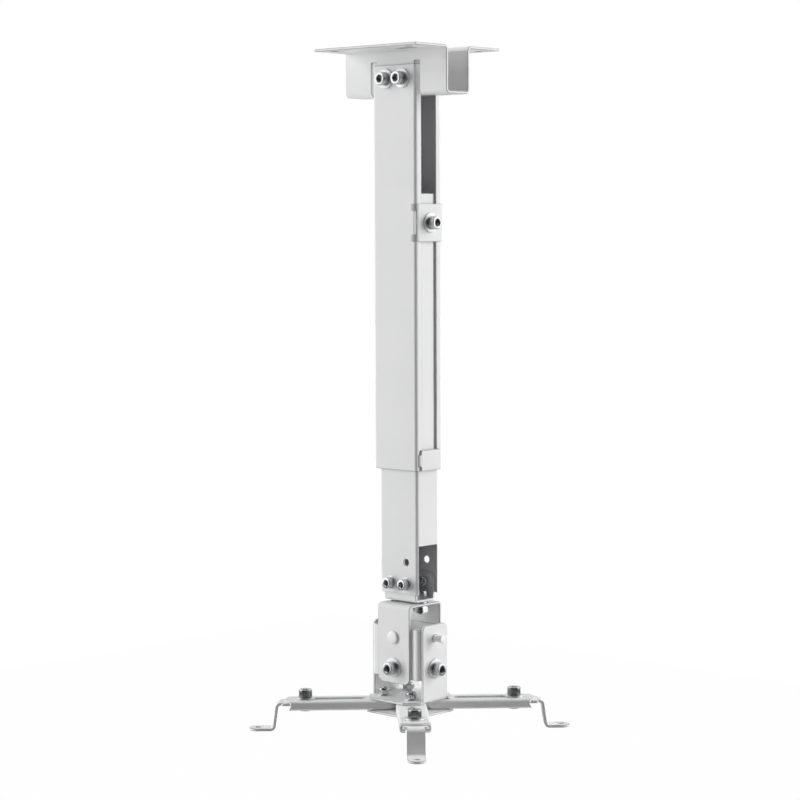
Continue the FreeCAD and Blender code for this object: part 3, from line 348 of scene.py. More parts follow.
def zinc_plate(name, bright, dull, smooth, rough):
    """Plated steel: bright and dull are its two near tones, smooth and rough its glosses."""
    material, tree = new_material(name)
    place = add_node(tree, "ShaderNodeTexCoord").outputs["Object"]
    patches = add_node(tree, "ShaderNodeTexNoise", vector=place, scale=PATCHES_PER_M, detail=4.0)
    grain = add_node(tree, "ShaderNodeTexNoise", vector=place, scale=GRAIN_PER_M, detail=1.0)
    tone = add_node(tree, "ShaderNodeMix", {"data_type": "RGBA"},
                    in_0=patches.outputs["Fac"], in_6=bright, in_7=dull)
    gloss = add_node(tree, "ShaderNodeMapRange", value=patches.outputs["Fac"],
                     from_min=0.3, from_max=0.7, to_min=smooth, to_max=rough)
    ripple = add_node(tree, "ShaderNodeBump", strength=GRAIN_STRENGTH, distance=GRAIN_DEPTH,
                      height=grain.outputs["Fac"])
    # painted shade: the number on the points darkens the colour under the heads, in sockets and in
    # knurl grooves
    grime = add_node(tree, "ShaderNodeAttribute", {"attribute_name": "grime"})
    shade = add_node(tree, "ShaderNodeMix", {"data_type": "RGBA"},
                     in_0=grime.outputs["Fac"], in_6=tone.outputs[2], in_7=SHADE_BLACK)
    surface = add_node(tree, "ShaderNodeBsdfPrincipled", base_color=shade.outputs[2],
                       roughness=gloss.outputs["Result"], normal=ripple.outputs["Normal"])
    surface.inputs["Metallic"].default_value = 1.0
    add_node(tree, "ShaderNodeOutputMaterial", surface=surface.outputs[0])
    return material


ZINC = zinc_plate("zinc_plate", (0.70, 0.71, 0.72, 1), (0.58, 0.59, 0.60, 1), 0.14, 0.26)
SATIN_ZINC = zinc_plate("tumbled_zinc", (0.88, 0.89, 0.90, 1), (0.78, 0.79, 0.80, 1), 0.36, 0.48)
print(ZINC.name, "and", SATIN_ZINC.name)

# %% [markdown]
# ## Nylon
# The lock nuts of the base hold a ring of pale nylon. Real nylon lets some light in, which the
# Subsurface setting could give. On a ring of a few millimetres that doesn't show, so a plain
# plastic with a fine grain in its gloss is enough.

# %% Nylon material
NYLON_GRAIN_PER_M = 1800.0


def nylon(name, colour):
    """Pale plastic with a patchy gloss."""
    material, tree = new_material(name)
    place = add_node(tree, "ShaderNodeTexCoord").outputs["Object"]
    grain = add_node(tree, "ShaderNodeTexNoise", vector=place,
                     scale=NYLON_GRAIN_PER_M, detail=2.0)
    gloss = add_node(tree, "ShaderNodeMapRange", value=grain.outputs["Fac"],
                     from_min=0.3, from_max=0.7, to_min=0.40, to_max=0.55)
    surface = add_node(tree, "ShaderNodeBsdfPrincipled", base_color=colour,
                       roughness=gloss.outputs["Result"])
    add_node(tree, "ShaderNodeOutputMaterial", surface=surface.outputs[0])
    return material


NYLON = nylon("nylon_ring", (0.70, 0.72, 0.74, 1))
print(NYLON.name, "is ready")

# %% [markdown]
# ## Copying a sheet from the CAD
# The CAD mesh is loose triangles that have to stay as they are. So each sheet is copied, its
# doubles are merged and the seams across its flat faces are dissolved. What is left are the real
# edges. A second helper turns an object with modifiers into a plain mesh at the origin, which is
# what the frame can take.

# %% Copy and finish a mesh
WELD_MM = 0.002
FLAT_SEAM = math.radians(0.3)


def finished_mesh(thing, name):
    """Turn an object and its modifiers into a plain mesh object at the origin."""
    graph = bpy.context.evaluated_depsgraph_get()
    mesh = bpy.data.meshes.new_from_object(thing.evaluated_get(graph))
    mesh.name = name
    bpy.data.objects.remove(thing)
    piece = bpy.data.objects.new(name, mesh)
    bpy.context.scene.collection.objects.link(piece)
    return piece


def welded_copy(node):
    """A bmesh of a CAD node with its doubles merged and its flat seams dissolved."""
    shape = bmesh.new()
    shape.from_mesh(NODES[node].data)
    bmesh.ops.remove_doubles(shape, verts=shape.verts, dist=WELD_MM * MM)
    bmesh.ops.dissolve_limit(shape, angle_limit=FLAT_SEAM, verts=shape.verts, edges=shape.edges)
    return shape


hat = welded_copy("ceiling_bracket")
print("the ceiling bracket has", len(hat.faces), "real faces")
hat.free()

# %% [markdown]
# ## Where light and shade are painted
# The insides of the tubes and the inner wall of the folded bracket get painted shade, the holes of
# its top plate get a painted shadow, and a few faces that the lamps leave too dark get painted
# light. A ray from the middle of each face tells how far away the next wall is: a short gap is a
# slit or a hole, a gap as wide as the tube is its inside, and no hit is open air. A rule looks at a
# face's place, its direction and this gap, and then gives it another coat. A direction's part along
# an axis is near one where the face looks that way. Painting the faces by hand would work too, but
# would be lost whenever the CAD changes.

# %% Repaint faces by rules
# slot 1 holds the painted shade of the edge strips
SHEET_SLOT, EDGE_SHADE_SLOT = 0, 1
OFF_FACE_MM, RAY_REACH, OPEN_AIR = 0.02, 0.2, 999.0


def repaint(piece, rules):
    """Rules are (paint, test); a test gets a face's centre, its normal and its gap, in mm."""
    mesh = piece.data
    tree = BVHTree.FromPolygons([vert.co for vert in mesh.vertices],
                                [list(face.vertices) for face in mesh.polygons])
    for number, (paint, test) in enumerate(rules, start=len(mesh.materials)):
        mesh.materials.append(paint)
        free_slots = (SHEET_SLOT, EDGE_SHADE_SLOT) if paint == SHADOW_BLACK_COAT else (SHEET_SLOT,)
        for face in mesh.polygons:
            start = face.center + face.normal * OFF_FACE_MM * MM
            distance = tree.ray_cast(start, face.normal, RAY_REACH)[3]
            gap = OPEN_AIR if distance is None else distance / MM
            if face.material_index in free_slots and test(face.center / MM, face.normal, gap):
                face.material_index = number


SLIT, CHANNEL, TUBE = 7, 30, 42
HAT_NEAR, HAT_FAR = 12, 60
TOP_PLATE, TUBE_TOP = -3, -12.5
# painted light and shade for each sheet, as rules
PAINTED_LIGHT_AND_SHADE_RULES = {
    # ceiling bracket: painted shadow in the top plate's holes, painted light in the slits, painted
    # shade on the inner walls
    "ceiling_bracket": [(SHADOW_BLACK_COAT, lambda at, way, gap: gap < SLIT and at.z > TOP_PLATE),
                        (PAINTED_LIGHT_COAT, lambda at, way, gap: gap < SLIT),
                        (PAINTED_SHADE_COAT, lambda at, way, gap: HAT_NEAR < gap < HAT_FAR)],
    # tubes and swivel bracket: painted shade inside, and a painted shadow line along the outer
    # tube's top edge
    "outer_tube": [(INSIDE_SHADE_COAT, lambda at, way, gap: gap < TUBE),
                   (SHADOW_BLACK_COAT, lambda at, way, gap: at.z > TUBE_TOP and way.z > 0.3)],
    "inner_tube": [(INSIDE_SHADE_COAT, lambda at, way, gap: gap < TUBE)],
    "swivel_bracket": [(INSIDE_SHADE_COAT, lambda at, way, gap: gap < CHANNEL)],
    # painted shade on the clamp's ears
    "clamp_plate": [(PAINTED_SHADE_COAT, lambda at, way, gap: way.x < 0.85 and way.y < 0.0)],
    # painted light on every face of the block that doesn't look straight along X or Y
    "tilt_block": [(PAINTED_LIGHT_COAT, lambda at, way, gap: max(abs(way.x), abs(way.y)) < 0.96)],
    # painted light on the lower yoke's upward faces and on the inner face of its left leg
    "lower_yoke": [(PAINTED_LIGHT_COAT,
                    lambda at, way, gap: way.z > 0.9 or (way.x > 0.9 and at.x < 0))]}
print("rules for", len(PAINTED_LIGHT_AND_SHADE_RULES), "sheets")

# %% [markdown]
# ## Sheet pieces with soft edges
# A CAD edge is a perfect line, and no light ever glints on it. Real sheet has an edge rounded by
# the punch and by the paint, and that thin line is what makes it look solid. A Bevel modifier
# rounds every sharp edge and gives the new strips a darker coat, which is painted shade along each
# edge. It isn't clamped and doesn't slide: around a hole the CAD mesh has very short edges, and a
# clamped bevel would shrink to suit the shortest one. Its width is set for each sheet instead, as
# wide as its narrowest faces allow, which is only 0.2 mm at the foot of the inner tube. Weighted
# normals keep the big faces flat to the light.

# %% Soften the sheets
FOLD = math.radians(38)
BEVEL_STEPS = 2


def soften(node, radius_mm):
    """Replace a painted CAD node by the same shape with rounded edges."""
    shape = welded_copy(node)
    mesh = bpy.data.meshes.new(node + "_shape")
    shape.to_mesh(mesh)
    shape.free()
    mesh.polygons.foreach_set("use_smooth", [True] * len(mesh.polygons))
    mesh.polygons.foreach_set("material_index", [SHEET_SLOT] * len(mesh.polygons))
    mesh.materials.clear()
    # the second slot is the painted shade of the edge strips
    for paint in (WHITE_COAT, EDGE_SHADE_COAT):
        mesh.materials.append(paint)
    rough = bpy.data.objects.new(node + "_shape", mesh)
    bpy.context.scene.collection.objects.link(rough)
    bevel = rough.modifiers.new("edges", "BEVEL")
    bevel.width = radius_mm * MM
    bevel.segments = BEVEL_STEPS
    bevel.limit_method = "ANGLE"
    bevel.angle_limit = FOLD
    bevel.use_clamp_overlap = False
    bevel.loop_slide = False
    bevel.material = EDGE_SHADE_SLOT
    weigh = rough.modifiers.new("normals", "WEIGHTED_NORMAL")
    weigh.mode = "FACE_AREA"
    weigh.weight = 100
    piece = finished_mesh(rough, node + "_coated")
    if node in PAINTED_LIGHT_AND_SHADE_RULES:
        repaint(piece, PAINTED_LIGHT_AND_SHADE_RULES[node])
    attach(piece, NODES[node]["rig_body"])
    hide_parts(node)
    return piece


SIDES = ("front", "right", "back", "left")
EDGE_MM = {"ceiling_bracket": 0.45, "outer_tube": 0.38, "inner_tube": 0.20, "clamp_plate": 0.25,
           "swivel_bracket": 0.45, "upper_yoke": 0.55, "tilt_block": 0.4, "lower_yoke": 0.42,
           "hub_plate": 0.45}
for side in SIDES:
    EDGE_MM["arm_" + side] = 0.3
    EDGE_MM["foot_" + side] = 0.4
coated = [soften(node, radius) for node, radius in EDGE_MM.items()]
print(len(coated), "sheet pieces,", sum(len(piece.data.polygons) for piece in coated), "faces")

# %% [markdown]
# ## Turned parts from rings
# A screw head, a nut and a washer are all stacks of rings around one axis: some rings are round,
# some six-sided, and a knurled one zigzags. Spin and Screw modifiers make only the round ones, so
# here each ring is a list of points with the same count, whatever its outline. The axis is Z, and
# zero is the outermost face, the one that a hand touches.

# %% Round and six-sided rings
AROUND = 72


def round_ring(radius, depth, knurl=0.0):
    """Points on a circle in millimetres; a knurl pulls every second pair of points inwards."""
    points = []
    for step in range(AROUND):
        angle = 2 * math.pi * step / AROUND
        reach = radius - (knurl if step % 2 else 0.0)
        points.append((reach * math.cos(angle), reach * math.sin(angle), -depth))
    return points


def hex_ring(flats, depth, chamfer=0.0):
    """Points on a hexagon; a chamfer lowers the corners as a cone cuts them."""
    points = []
    for step in range(AROUND):
        angle = 2 * math.pi * step / AROUND
        inside = (angle + math.pi / 6) % (math.pi / 3) - math.pi / 6
        reach = flats / 2 / math.cos(math.pi / 6 - abs(inside))
        fall = chamfer * (reach - flats / 2)
        points.append((reach * math.cos(angle), reach * math.sin(angle), -depth - fall))
    return points


print("rings have", AROUND, "points")

# %% [markdown]
# ## Stacking the rings
# Neighbouring rings are joined by a belt of quads. A part with a hole is closed by one more belt,
# from the last ring back to the first. A part without one gets a fan of triangles on both ends. One
# big face would close an end as well, but a fan keeps its shape when the export cuts all faces into
# triangles. Painted shade is stored on the points, so that it rides along into the finished mesh.

# %% Join rings into a part
TOUCHING_MM = 0.0005


def stack(name, rings, looped=False, grime=None):
    """Join rings into a closed shape, capped at both ends or looped; painted shade is by ring
    number.
    """
    shape = bmesh.new()
    # a layer on the points for painted shade
    ring_shades = shape.verts.layers.float.new("grime")
    rows = [[shape.verts.new(Vector(point) * MM) for point in ring] for ring in rings]
    for number, amount in (grime or {}).items():
        for vert in rows[number]:
            vert[ring_shades] = amount
    pairs = list(zip(rows, rows[1:])) + ([(rows[-1], rows[0])] if looped else [])
    for upper, lower in pairs:
        for step in range(AROUND):
            after = (step + 1) % AROUND
            shape.faces.new((upper[step], lower[step], lower[after], upper[after]))
    if not looped:
        for row, turned in ((rows[0], False), (rows[-1], True)):
            middle = shape.verts.new(sum((vert.co for vert in row), Vector()) / AROUND)
            middle[ring_shades] = row[0][ring_shades]
            for step in range(AROUND):
                pair = (row[step], row[(step + 1) % AROUND])
                shape.faces.new((middle, *(reversed(pair) if turned else pair)))
    bmesh.ops.remove_doubles(shape, verts=shape.verts, dist=TOUCHING_MM * MM)
    bmesh.ops.recalc_face_normals(shape, faces=shape.faces)
    mesh = bpy.data.meshes.new(name)
    shape.to_mesh(mesh)
    shape.free()
    master = bpy.data.objects.new(name, mesh)
    bpy.context.scene.collection.objects.link(master)
    return master


print("points closer than", TOUCHING_MM, "mm are merged")

# %% [markdown]
# ## Trees with named inputs
# A geometry tree serves many pieces if its sizes are inputs. A modifier keeps each input under an
# identifier that Blender makes up, and not under its name. The identifiers could be copied from
# the interface by hand, but they change when the tree does. So one helper adds the inputs, and
# another finds their identifiers by name and sets them.

# %% Inputs of a geometry tree
def tree_inputs(tree, sockets):
    """Give a geometry tree a geometry input and output, and the named inputs."""
    tree.interface.new_socket("Geometry", in_out="INPUT", socket_type="NodeSocketGeometry")
    for name, kind in sockets:
        tree.interface.new_socket(name, in_out="INPUT", socket_type="NodeSocket" + kind)
    tree.interface.new_socket("Geometry", in_out="OUTPUT", socket_type="NodeSocketGeometry")
    return tree.nodes.new("NodeGroupInput").outputs


def use_tree(thing, tree, **values):
    """Add the tree as a modifier and set its inputs by their identifiers."""
    modifier = thing.modifiers.new(tree.name, "NODES")
    modifier.node_group = tree
    for item in tree.interface.items_tree:
        if item.in_out == "INPUT" and item.name in values:
            modifier[item.identifier] = values[item.name]


print("tree helpers ready")

# %% [markdown]
# ## The thread
# A thread is one ridge that follows a spiral, so it is made with Geometry Nodes: a Spiral curve is
# swept with a three-sided profile and joined to the plain shank. A Screw modifier could make it
# too, but with the sizes as inputs of the tree, the same tree cuts every screw size. The ridge's
# radius is a share of the pitch.

# %% Thread tree
POINTS_PER_TURN, RIDGE_SIDES, RIDGE_SHARE = 24, 3, 0.40
thread_tree = bpy.data.node_groups.new("thread", "GeometryNodeTree")
given = tree_inputs(thread_tree, [("Radius", "Float"), ("Pitch", "Float"),
                                  ("Length", "Float"), ("Start", "Float")])
turns = add_node(thread_tree, "ShaderNodeMath", {"operation": "DIVIDE"},
                 in_0=given["Length"], in_1=given["Pitch"])
spiral = add_node(thread_tree, "GeometryNodeCurveSpiral", resolution=POINTS_PER_TURN,
                  rotations=turns.outputs[0], start_radius=given["Radius"],
                  end_radius=given["Radius"], height=given["Length"])
ridge_size = add_node(thread_tree, "ShaderNodeMath", {"operation": "MULTIPLY"},
                      in_0=given["Pitch"], in_1=RIDGE_SHARE)
ridge = add_node(thread_tree, "GeometryNodeCurvePrimitiveCircle", in_0=RIDGE_SIDES,
                 in_4=ridge_size.outputs[0])
swept = add_node(thread_tree, "GeometryNodeCurveToMesh", curve=spiral.outputs[0],
                 profile_curve=ridge.outputs[0], fill_caps=True)
bottom = add_node(thread_tree, "ShaderNodeMath", {"operation": "ADD"},
                  in_0=given["Start"], in_1=given["Length"])
negative = add_node(thread_tree, "ShaderNodeMath", {"operation": "MULTIPLY"},
                    in_0=bottom.outputs[0], in_1=-1.0)
lowered = add_node(thread_tree, "ShaderNodeCombineXYZ", z=negative.outputs[0])
moved = add_node(thread_tree, "GeometryNodeTransform", geometry=swept.outputs[0],
                 translation=lowered.outputs[0])
whole = add_node(thread_tree, "GeometryNodeJoinGeometry")
thread_tree.links.new(moved.outputs[0], whole.inputs[0])
thread_tree.links.new(given["Geometry"], whole.inputs[0])
add_node(thread_tree, "NodeGroupOutput", geometry=whole.outputs[0])
print("thread tree:", len(thread_tree.nodes), "nodes")

# %% [markdown]
# ## Setting fasteners in place
# Seventy or so screws, nuts and washers repeat a few shapes. One tree puts a shape on each seat: a
# seat is a point with a direction, and the instance is turned to it. Screws also get a random turn,
# because sockets never line up when they are tightened by hand. Linked copies could be placed by a
# loop, but then the turns and the directions would have to be worked out in the script.

# %% Placing tree
placing_tree = bpy.data.node_groups.new("place_fasteners", "GeometryNodeTree")
given = tree_inputs(placing_tree, [("Shape", "Object"), ("Material", "Material"),
                                   ("Loose", "Float"), ("Seed", "Int")])
source = add_node(placing_tree, "GeometryNodeObjectInfo", {"transform_space": "ORIGINAL"},
                  object=given["Shape"])
towards = add_node(placing_tree, "GeometryNodeInputNamedAttribute",
                   {"data_type": "FLOAT_VECTOR"}, name="facing")
aligned = add_node(placing_tree, "FunctionNodeAlignRotationToVector", {"axis": "Z"},
                   vector=towards.outputs["Attribute"])
chance = add_node(placing_tree, "FunctionNodeRandomValue", {"data_type": "FLOAT"},
                  in_2=0.0, in_3=given["Loose"], seed=given["Seed"])
spin = add_node(placing_tree, "FunctionNodeAxisAngleToRotation", axis=(0, 0, 1),
                angle=chance.outputs[1])
turned = add_node(placing_tree, "FunctionNodeRotateRotation", {"rotation_space": "LOCAL"},
                  rotation=aligned.outputs[0], rotate_by=spin.outputs[0])
placed = add_node(placing_tree, "GeometryNodeInstanceOnPoints", points=given["Geometry"],
                  instance=source.outputs["Geometry"], rotation=turned.outputs[0])
solid = add_node(placing_tree, "GeometryNodeRealizeInstances", geometry=placed.outputs[0])
finish = add_node(placing_tree, "GeometryNodeSetMaterial", geometry=solid.outputs[0],
                  material=given["Material"])
add_node(placing_tree, "NodeGroupOutput", geometry=finish.outputs[0])
print("placing tree:", len(placing_tree.nodes), "nodes")

# %% [markdown]
# ## Measuring the seats
# Each fastener node of the CAD model is a group of separate solids. Welding its triangles and
# walking from point to point finds them one by one, and each solid's box gives its axis and outer
# face. Positions could be typed in from a drawing, but measured ones stay true if the CAD changes.

# %% Find each solid of a node
def solids_of(node):
    """Boxes (low, high) of the separate solids in a CAD node."""
    shape = bmesh.new()
    shape.from_mesh(NODES[node].data)
    bmesh.ops.remove_doubles(shape, verts=shape.verts, dist=WELD_MM * MM)
    left, boxes = set(shape.verts), []
    while left:
        group, waiting = set(), [left.pop()]
        while waiting:
            vert = waiting.pop()
            group.add(vert)
            for line in vert.link_edges:
                other = line.other_vert(vert)
                if other in left:
                    left.remove(other)
                    waiting.append(other)
        low = Vector([min(vert.co[axis] for vert in group) for axis in range(3)])
        high = Vector([max(vert.co[axis] for vert in group) for axis in range(3)])
        boxes.append((low, high))
    shape.free()
    return sorted(boxes, key=lambda box: tuple(round(part, 5) for part in box[0]))


def seats_of(node, axis, way):
    """Points on outer faces, directions and lengths; way is +1 or -1, or "out" or "in"."""
    boxes = solids_of(node)
    centre = sum(((low + high) / 2 for low, high in boxes), Vector()) / len(boxes)
    seats = []
    for low, high in boxes:
        middle = (low + high) / 2
        outward = 1 if middle[axis] >= centre[axis] else -1
        sign = {"out": outward, "in": -outward}.get(way, way)
        middle[axis] = high[axis] if sign > 0 else low[axis]
        facing = Vector((0, 0, 0))
        facing[axis] = sign
        seats.append((middle, facing, (high - low)[axis]))
    return seats


X_AXIS, Y_AXIS, Z_AXIS = 0, 1, 2
first_seat = seats_of("column_screws", Y_AXIS, "out")[0][0]
print("first screw seat", [round(part, 4) for part in first_seat])

# %% [markdown]
# ## One call for each fastener node
# Every fastener node is dressed in the same way. Its seats become a cloud of points, the placing
# tree puts the master shape on each of them, and the result rides the node's body and stands in the
# node's place. Separate objects would do as well, but one mesh for each node keeps the list of
# pieces as short as the CAD's. Shading is smooth, and stays crisp where faces meet at a real edge.

# %% Set one node's fasteners
CREASE = math.radians(32)


def set_fasteners(node, seats, master, material, loose=0.0, seed=1, name=None):
    """Instance a master on the seats, let the result stand for the CAD node, drop the master."""
    points = bpy.data.meshes.new(node + "_seats")
    points.from_pydata([seat[0] for seat in seats], [], [])
    directions = points.attributes.new("facing", "FLOAT_VECTOR", "POINT")
    directions.data.foreach_set("vector", [part for seat in seats for part in seat[1]])
    carrier = bpy.data.objects.new(node + "_seats", points)
    bpy.context.scene.collection.objects.link(carrier)
    use_tree(carrier, placing_tree, Shape=master, Material=material, Loose=loose, Seed=seed)
    piece = finished_mesh(carrier, name or node + "_detail")
    bpy.data.objects.remove(master)
    mesh = piece.data
    mesh.polygons.foreach_set("use_smooth", [True] * len(mesh.polygons))
    mesh.set_sharp_from_angle(angle=CREASE)
    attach(piece, NODES[node]["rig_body"])
    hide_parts(node)


print("fasteners stay crisp above", round(math.degrees(CREASE)), "degrees")

# %% [markdown]
# ## Socket cap screws
# The head is a knurled cylinder with a rounded rim and a hexagon socket, whose mouth is
# countersunk. The picture shows the bright flat ring, the dark socket and the fine vertical knurl.
# A socket could be cut with a Boolean modifier, but as rings the screw is closed and clean from the
# start: the list begins at the bottom of the socket, climbs out over the rim and ends at the tip of
# the shank. The shank's core is thinner than the nominal size, and the thread tree brings its
# crests back to it. Shade is painted by ring: much under the head, some in the socket, a little in
# the knurl. All sizes are in millimetres.

# %% Shape a cap screw
CORE_CUT, CREST_LIFT = 0.50, 0.10
SOCKET, KNURL, TIP = 3.0, 0.07, 0.5
NECK, THREAD_FROM, UNTHREADED = 0.8, 1.1, 1.9


def cut_thread(master, core, pitch, start, length):
    """Run the thread tree on a master, from start down its shank."""
    use_tree(master, thread_tree, Radius=(core + CREST_LIFT * pitch) * MM, Pitch=pitch * MM,
             Length=length * MM, Start=start * MM)
    return finished_mesh(master, master.name)


def cap_screw(name, thread, pitch, head_dia, head_tall, key, shank_long, knurl_shade):
    """One screw, its head's outer face at zero and its shank below; the last argument is the
    knurl's painted shade.
    """
    radius, core = head_dia / 2, thread / 2 - CORE_CUT * pitch
    end = head_tall + shank_long
    rings = [
        # 0 to 4: the socket's drilled floor, its six walls and its mouth
        hex_ring(key * 0.55, SOCKET + 0.3), hex_ring(key, SOCKET), hex_ring(key, 0.5, 0.35),
        round_ring(key * 0.60, 0.15), round_ring(key * 0.62, 0.0),
        # 5 to 7: the flat ring and its rounded rim
        round_ring(radius - 0.5, 0.0), round_ring(radius - 0.2, 0.12),
        round_ring(radius - 0.04, 0.4),
        # 8 to 11: the knurl and the foot of the head
        round_ring(radius, 0.8, KNURL), round_ring(radius, head_tall - 0.7, KNURL),
        round_ring(radius - 0.1, head_tall - 0.4), round_ring(radius - 0.3, head_tall),
        # the neck, the core that carries the thread, and the tip
        round_ring(thread / 2, head_tall), round_ring(thread / 2, head_tall + NECK),
        round_ring(core, head_tall + THREAD_FROM), round_ring(core, end - TIP),
        round_ring(core - TIP, end)]
    # painted shade by ring: darkest at the foot of the head, some in the socket and the knurl
    ring_shades = {0: 0.1, 1: 0.4, 2: 0.3, 3: 0.25, 8: knurl_shade, 9: knurl_shade + 0.15, 10: 0.7, 11: 0.85}
    return cut_thread(stack(name, rings, grime=ring_shades), core, pitch,
                      head_tall + THREAD_FROM, shank_long - UNTHREADED)


print("sockets are", SOCKET, "mm deep")

# %% [markdown]
# ## Which screw goes where
# The picture's screws come in two sizes, six and five millimetres, with heads and keys of the usual
# standard. A table names each node with its size, its axis and the side that its head is on, and a
# loop does the rest, since ten calls written out would differ in those four words only. A socket
# looks the same again after a sixth of a turn, so the random turn goes no further. The knurls of
# the foot screws get a deeper painted shade.

# %% Make the cap screws
M6 = {"thread": 6.0, "pitch": 1.0, "head_dia": 10.0, "head_tall": 6.0, "key": 5.0}
M5 = {"thread": 5.0, "pitch": 0.8, "head_dia": 8.5, "head_tall": 5.0, "key": 4.0}
SIXTH_TURN, FIRST_SEED = math.pi / 3, 3
# painted shade on the knurls; the foot screws get the deeper one
LIGHT_KNURL_SHADE, DEEP_KNURL_SHADE = 0.1, 0.5
SCREWS = [("column_screws", M6, Y_AXIS, "out"), ("clamp_screw", M6, X_AXIS, 1),
          ("bracket_screws", M5, Y_AXIS, "out"), ("pan_bolts", M6, Z_AXIS, 1),
          ("roll_screws", M6, Y_AXIS, "out"), ("pitch_screws", M6, X_AXIS, "out")]
SCREWS += [("foot_screw_" + side, M6, Z_AXIS, 1) for side in SIDES]
screw_count = 0
for seed, (node, size, axis, way) in enumerate(SCREWS, start=FIRST_SEED):
    seats = seats_of(node, axis, way)
    master = cap_screw(node + "_master", shank_long=seats[0][2] / MM - size["head_tall"],
                       knurl_shade=DEEP_KNURL_SHADE if node.startswith("foot") else LIGHT_KNURL_SHADE, **size)
    set_fasteners(node, seats, master, ZINC, loose=SIXTH_TURN, seed=seed)
    screw_count += len(seats)
print(screw_count, "cap screws")

# %% [markdown]
# ## Low bolts of the base
# The arms turn on four bolts whose heads are low, round and smooth, and are pressed tight against
# their plate, so that nothing below needs a key. A Cylinder with a Bevel modifier would give the
# head. Rings are used again, because the shank below is the same as a cap screw's, with a longer
# plain part that the arms turn on.

# %% Make the low bolts
STUD = {"thread": 5.0, "pitch": 0.8, "head_dia": 9.0, "head_tall": 1.4}
STUD_NECK, STUD_FROM, STUD_UNTHREADED = 4.0, 4.3, 5.1


def stud_bolt(name, thread, pitch, head_dia, head_tall, shank_long):
    """A bolt with a low round head, whose outer face is at zero."""
    radius, core = head_dia / 2, thread / 2 - CORE_CUT * pitch
    end = head_tall + shank_long
    rings = [
        round_ring(radius - 0.6, 0.0), round_ring(radius - 0.15, 0.15), round_ring(radius, 0.5),
        round_ring(radius, head_tall), round_ring(thread / 2, head_tall),
        round_ring(thread / 2, head_tall + STUD_NECK), round_ring(core, head_tall + STUD_FROM),
        round_ring(core, end - TIP), round_ring(core - TIP, end)]
    return cut_thread(stack(name, rings), core, pitch,
                      head_tall + STUD_FROM, shank_long - STUD_UNTHREADED)


seats = seats_of("hub_bolts", Z_AXIS, -1)
master = stud_bolt("hub_bolt_master", shank_long=seats[0][2] / MM - STUD["head_tall"], **STUD)
set_fasteners("hub_bolts", seats, master, ZINC)
print(len(seats), "low bolts")

# %% [markdown]
# ## Washers
# A punched washer is flat, with a slightly rounded rim on the side where the punch came in. Eight
# rings joined into a loop give it, with a small chamfer at the hole. A Torus or a bored Cylinder
# would be quicker to add, but neither has that one-sided rim, which catches the light as a thin
# line. The seat is measured from the CAD, and the washer is made a hair thinner, so that its
# underside never lies in the same plane as a sheet that slides under it.

# %% Make the washers
RIM = 0.18
BORE_M5, BORE_M6 = 5.4, 6.4
SEAT_GAP = 0.02


def washer(name, outer, inner, thick):
    """A flat ring with its rounded rim at zero; all sizes are in millimetres."""
    rings = [round_ring(inner / 2 + RIM, 0.0), round_ring(outer / 2 - RIM * 1.6, 0.0),
             round_ring(outer / 2 - RIM * 0.4, RIM * 0.35), round_ring(outer / 2, RIM * 1.2),
             round_ring(outer / 2, thick - RIM * 0.5), round_ring(outer / 2 - RIM * 0.5, thick),
             round_ring(inner / 2, thick), round_ring(inner / 2, RIM)]
    return stack(name, rings, looped=True)


WASHERS = [("column_washers", Y_AXIS, "out"), ("clamp_washer", X_AXIS, 1),
           ("bracket_washers", Y_AXIS, "out"), ("pan_spacers", Z_AXIS, 1),
           ("roll_washers", Y_AXIS, "out"), ("pitch_washers", X_AXIS, "out"),
           ("hub_washers", Z_AXIS, 1)]
WASHERS += [("foot_washer_" + side, Z_AXIS, 1) for side in SIDES]
for node, axis, way in WASHERS:
    seats = seats_of(node, axis, way)
    low, high = solids_of(node)[0]
    outer = (high - low)[(axis + 1) % 3] / MM
    bore = BORE_M5 if node in ("bracket_washers", "hub_washers") else BORE_M6
    master = washer(node + "_master", outer, bore, seats[0][2] / MM - SEAT_GAP)
    set_fasteners(node, seats, master, SATIN_ZINC)
print(len(WASHERS), "washer pieces")

# %% [markdown]
# ## Nuts
# A turned nut has its six corners cut by a cone on both faces, which leaves the curved line that
# every real nut has. A six-sided Cylinder with a Bevel would cut straight lines there. So the
# hexagon's ring sinks at its corners instead, by as much as the cone takes away. The hole's two
# ends are countersunk.

# %% Make the plain nuts
CORNER_CUT, FACE_INSET, SINK = 0.58, 0.12, 0.35
SIZE_M5, SIZE_M6 = {"flats": 8.0, "bore": 4.6}, {"flats": 10.0, "bore": 5.5}
NUT_TURN, NUT_SEED = 0.5, 5


def nut(name, flats, bore, tall):
    """A plain nut with its outer face at zero; flats is the width across two sides, in mm."""
    rings = [round_ring(bore / 2 + SINK, 0.0), round_ring(flats / 2 - FACE_INSET, 0.0),
             hex_ring(flats, 0.06, CORNER_CUT), hex_ring(flats, tall - 0.45 * flats / 6 - 0.1),
             round_ring(flats / 2 - FACE_INSET, tall), round_ring(bore / 2 + SINK, tall),
             round_ring(bore / 2, tall - SINK), round_ring(bore / 2, SINK)]
    return stack(name, rings, looped=True)


NUTS = [("column_nuts", Y_AXIS, "in"), ("clamp_nut", X_AXIS, -1), ("bracket_nuts", Y_AXIS, "in"),
        ("pan_nuts", Z_AXIS, -1), ("roll_nuts", Y_AXIS, "in"), ("pitch_nuts", X_AXIS, "in")]
NUTS += [("foot_nut_" + side, Z_AXIS, -1) for side in SIDES]
for node, axis, way in NUTS:
    seats = seats_of(node, axis, way)
    size = SIZE_M5 if node == "bracket_nuts" else SIZE_M6
    master = nut(node + "_master", tall=seats[0][2] / MM, **size)
    set_fasteners(node, seats, master, ZINC, loose=NUT_TURN, seed=NUT_SEED)
print(len(NUTS), "nut pieces")

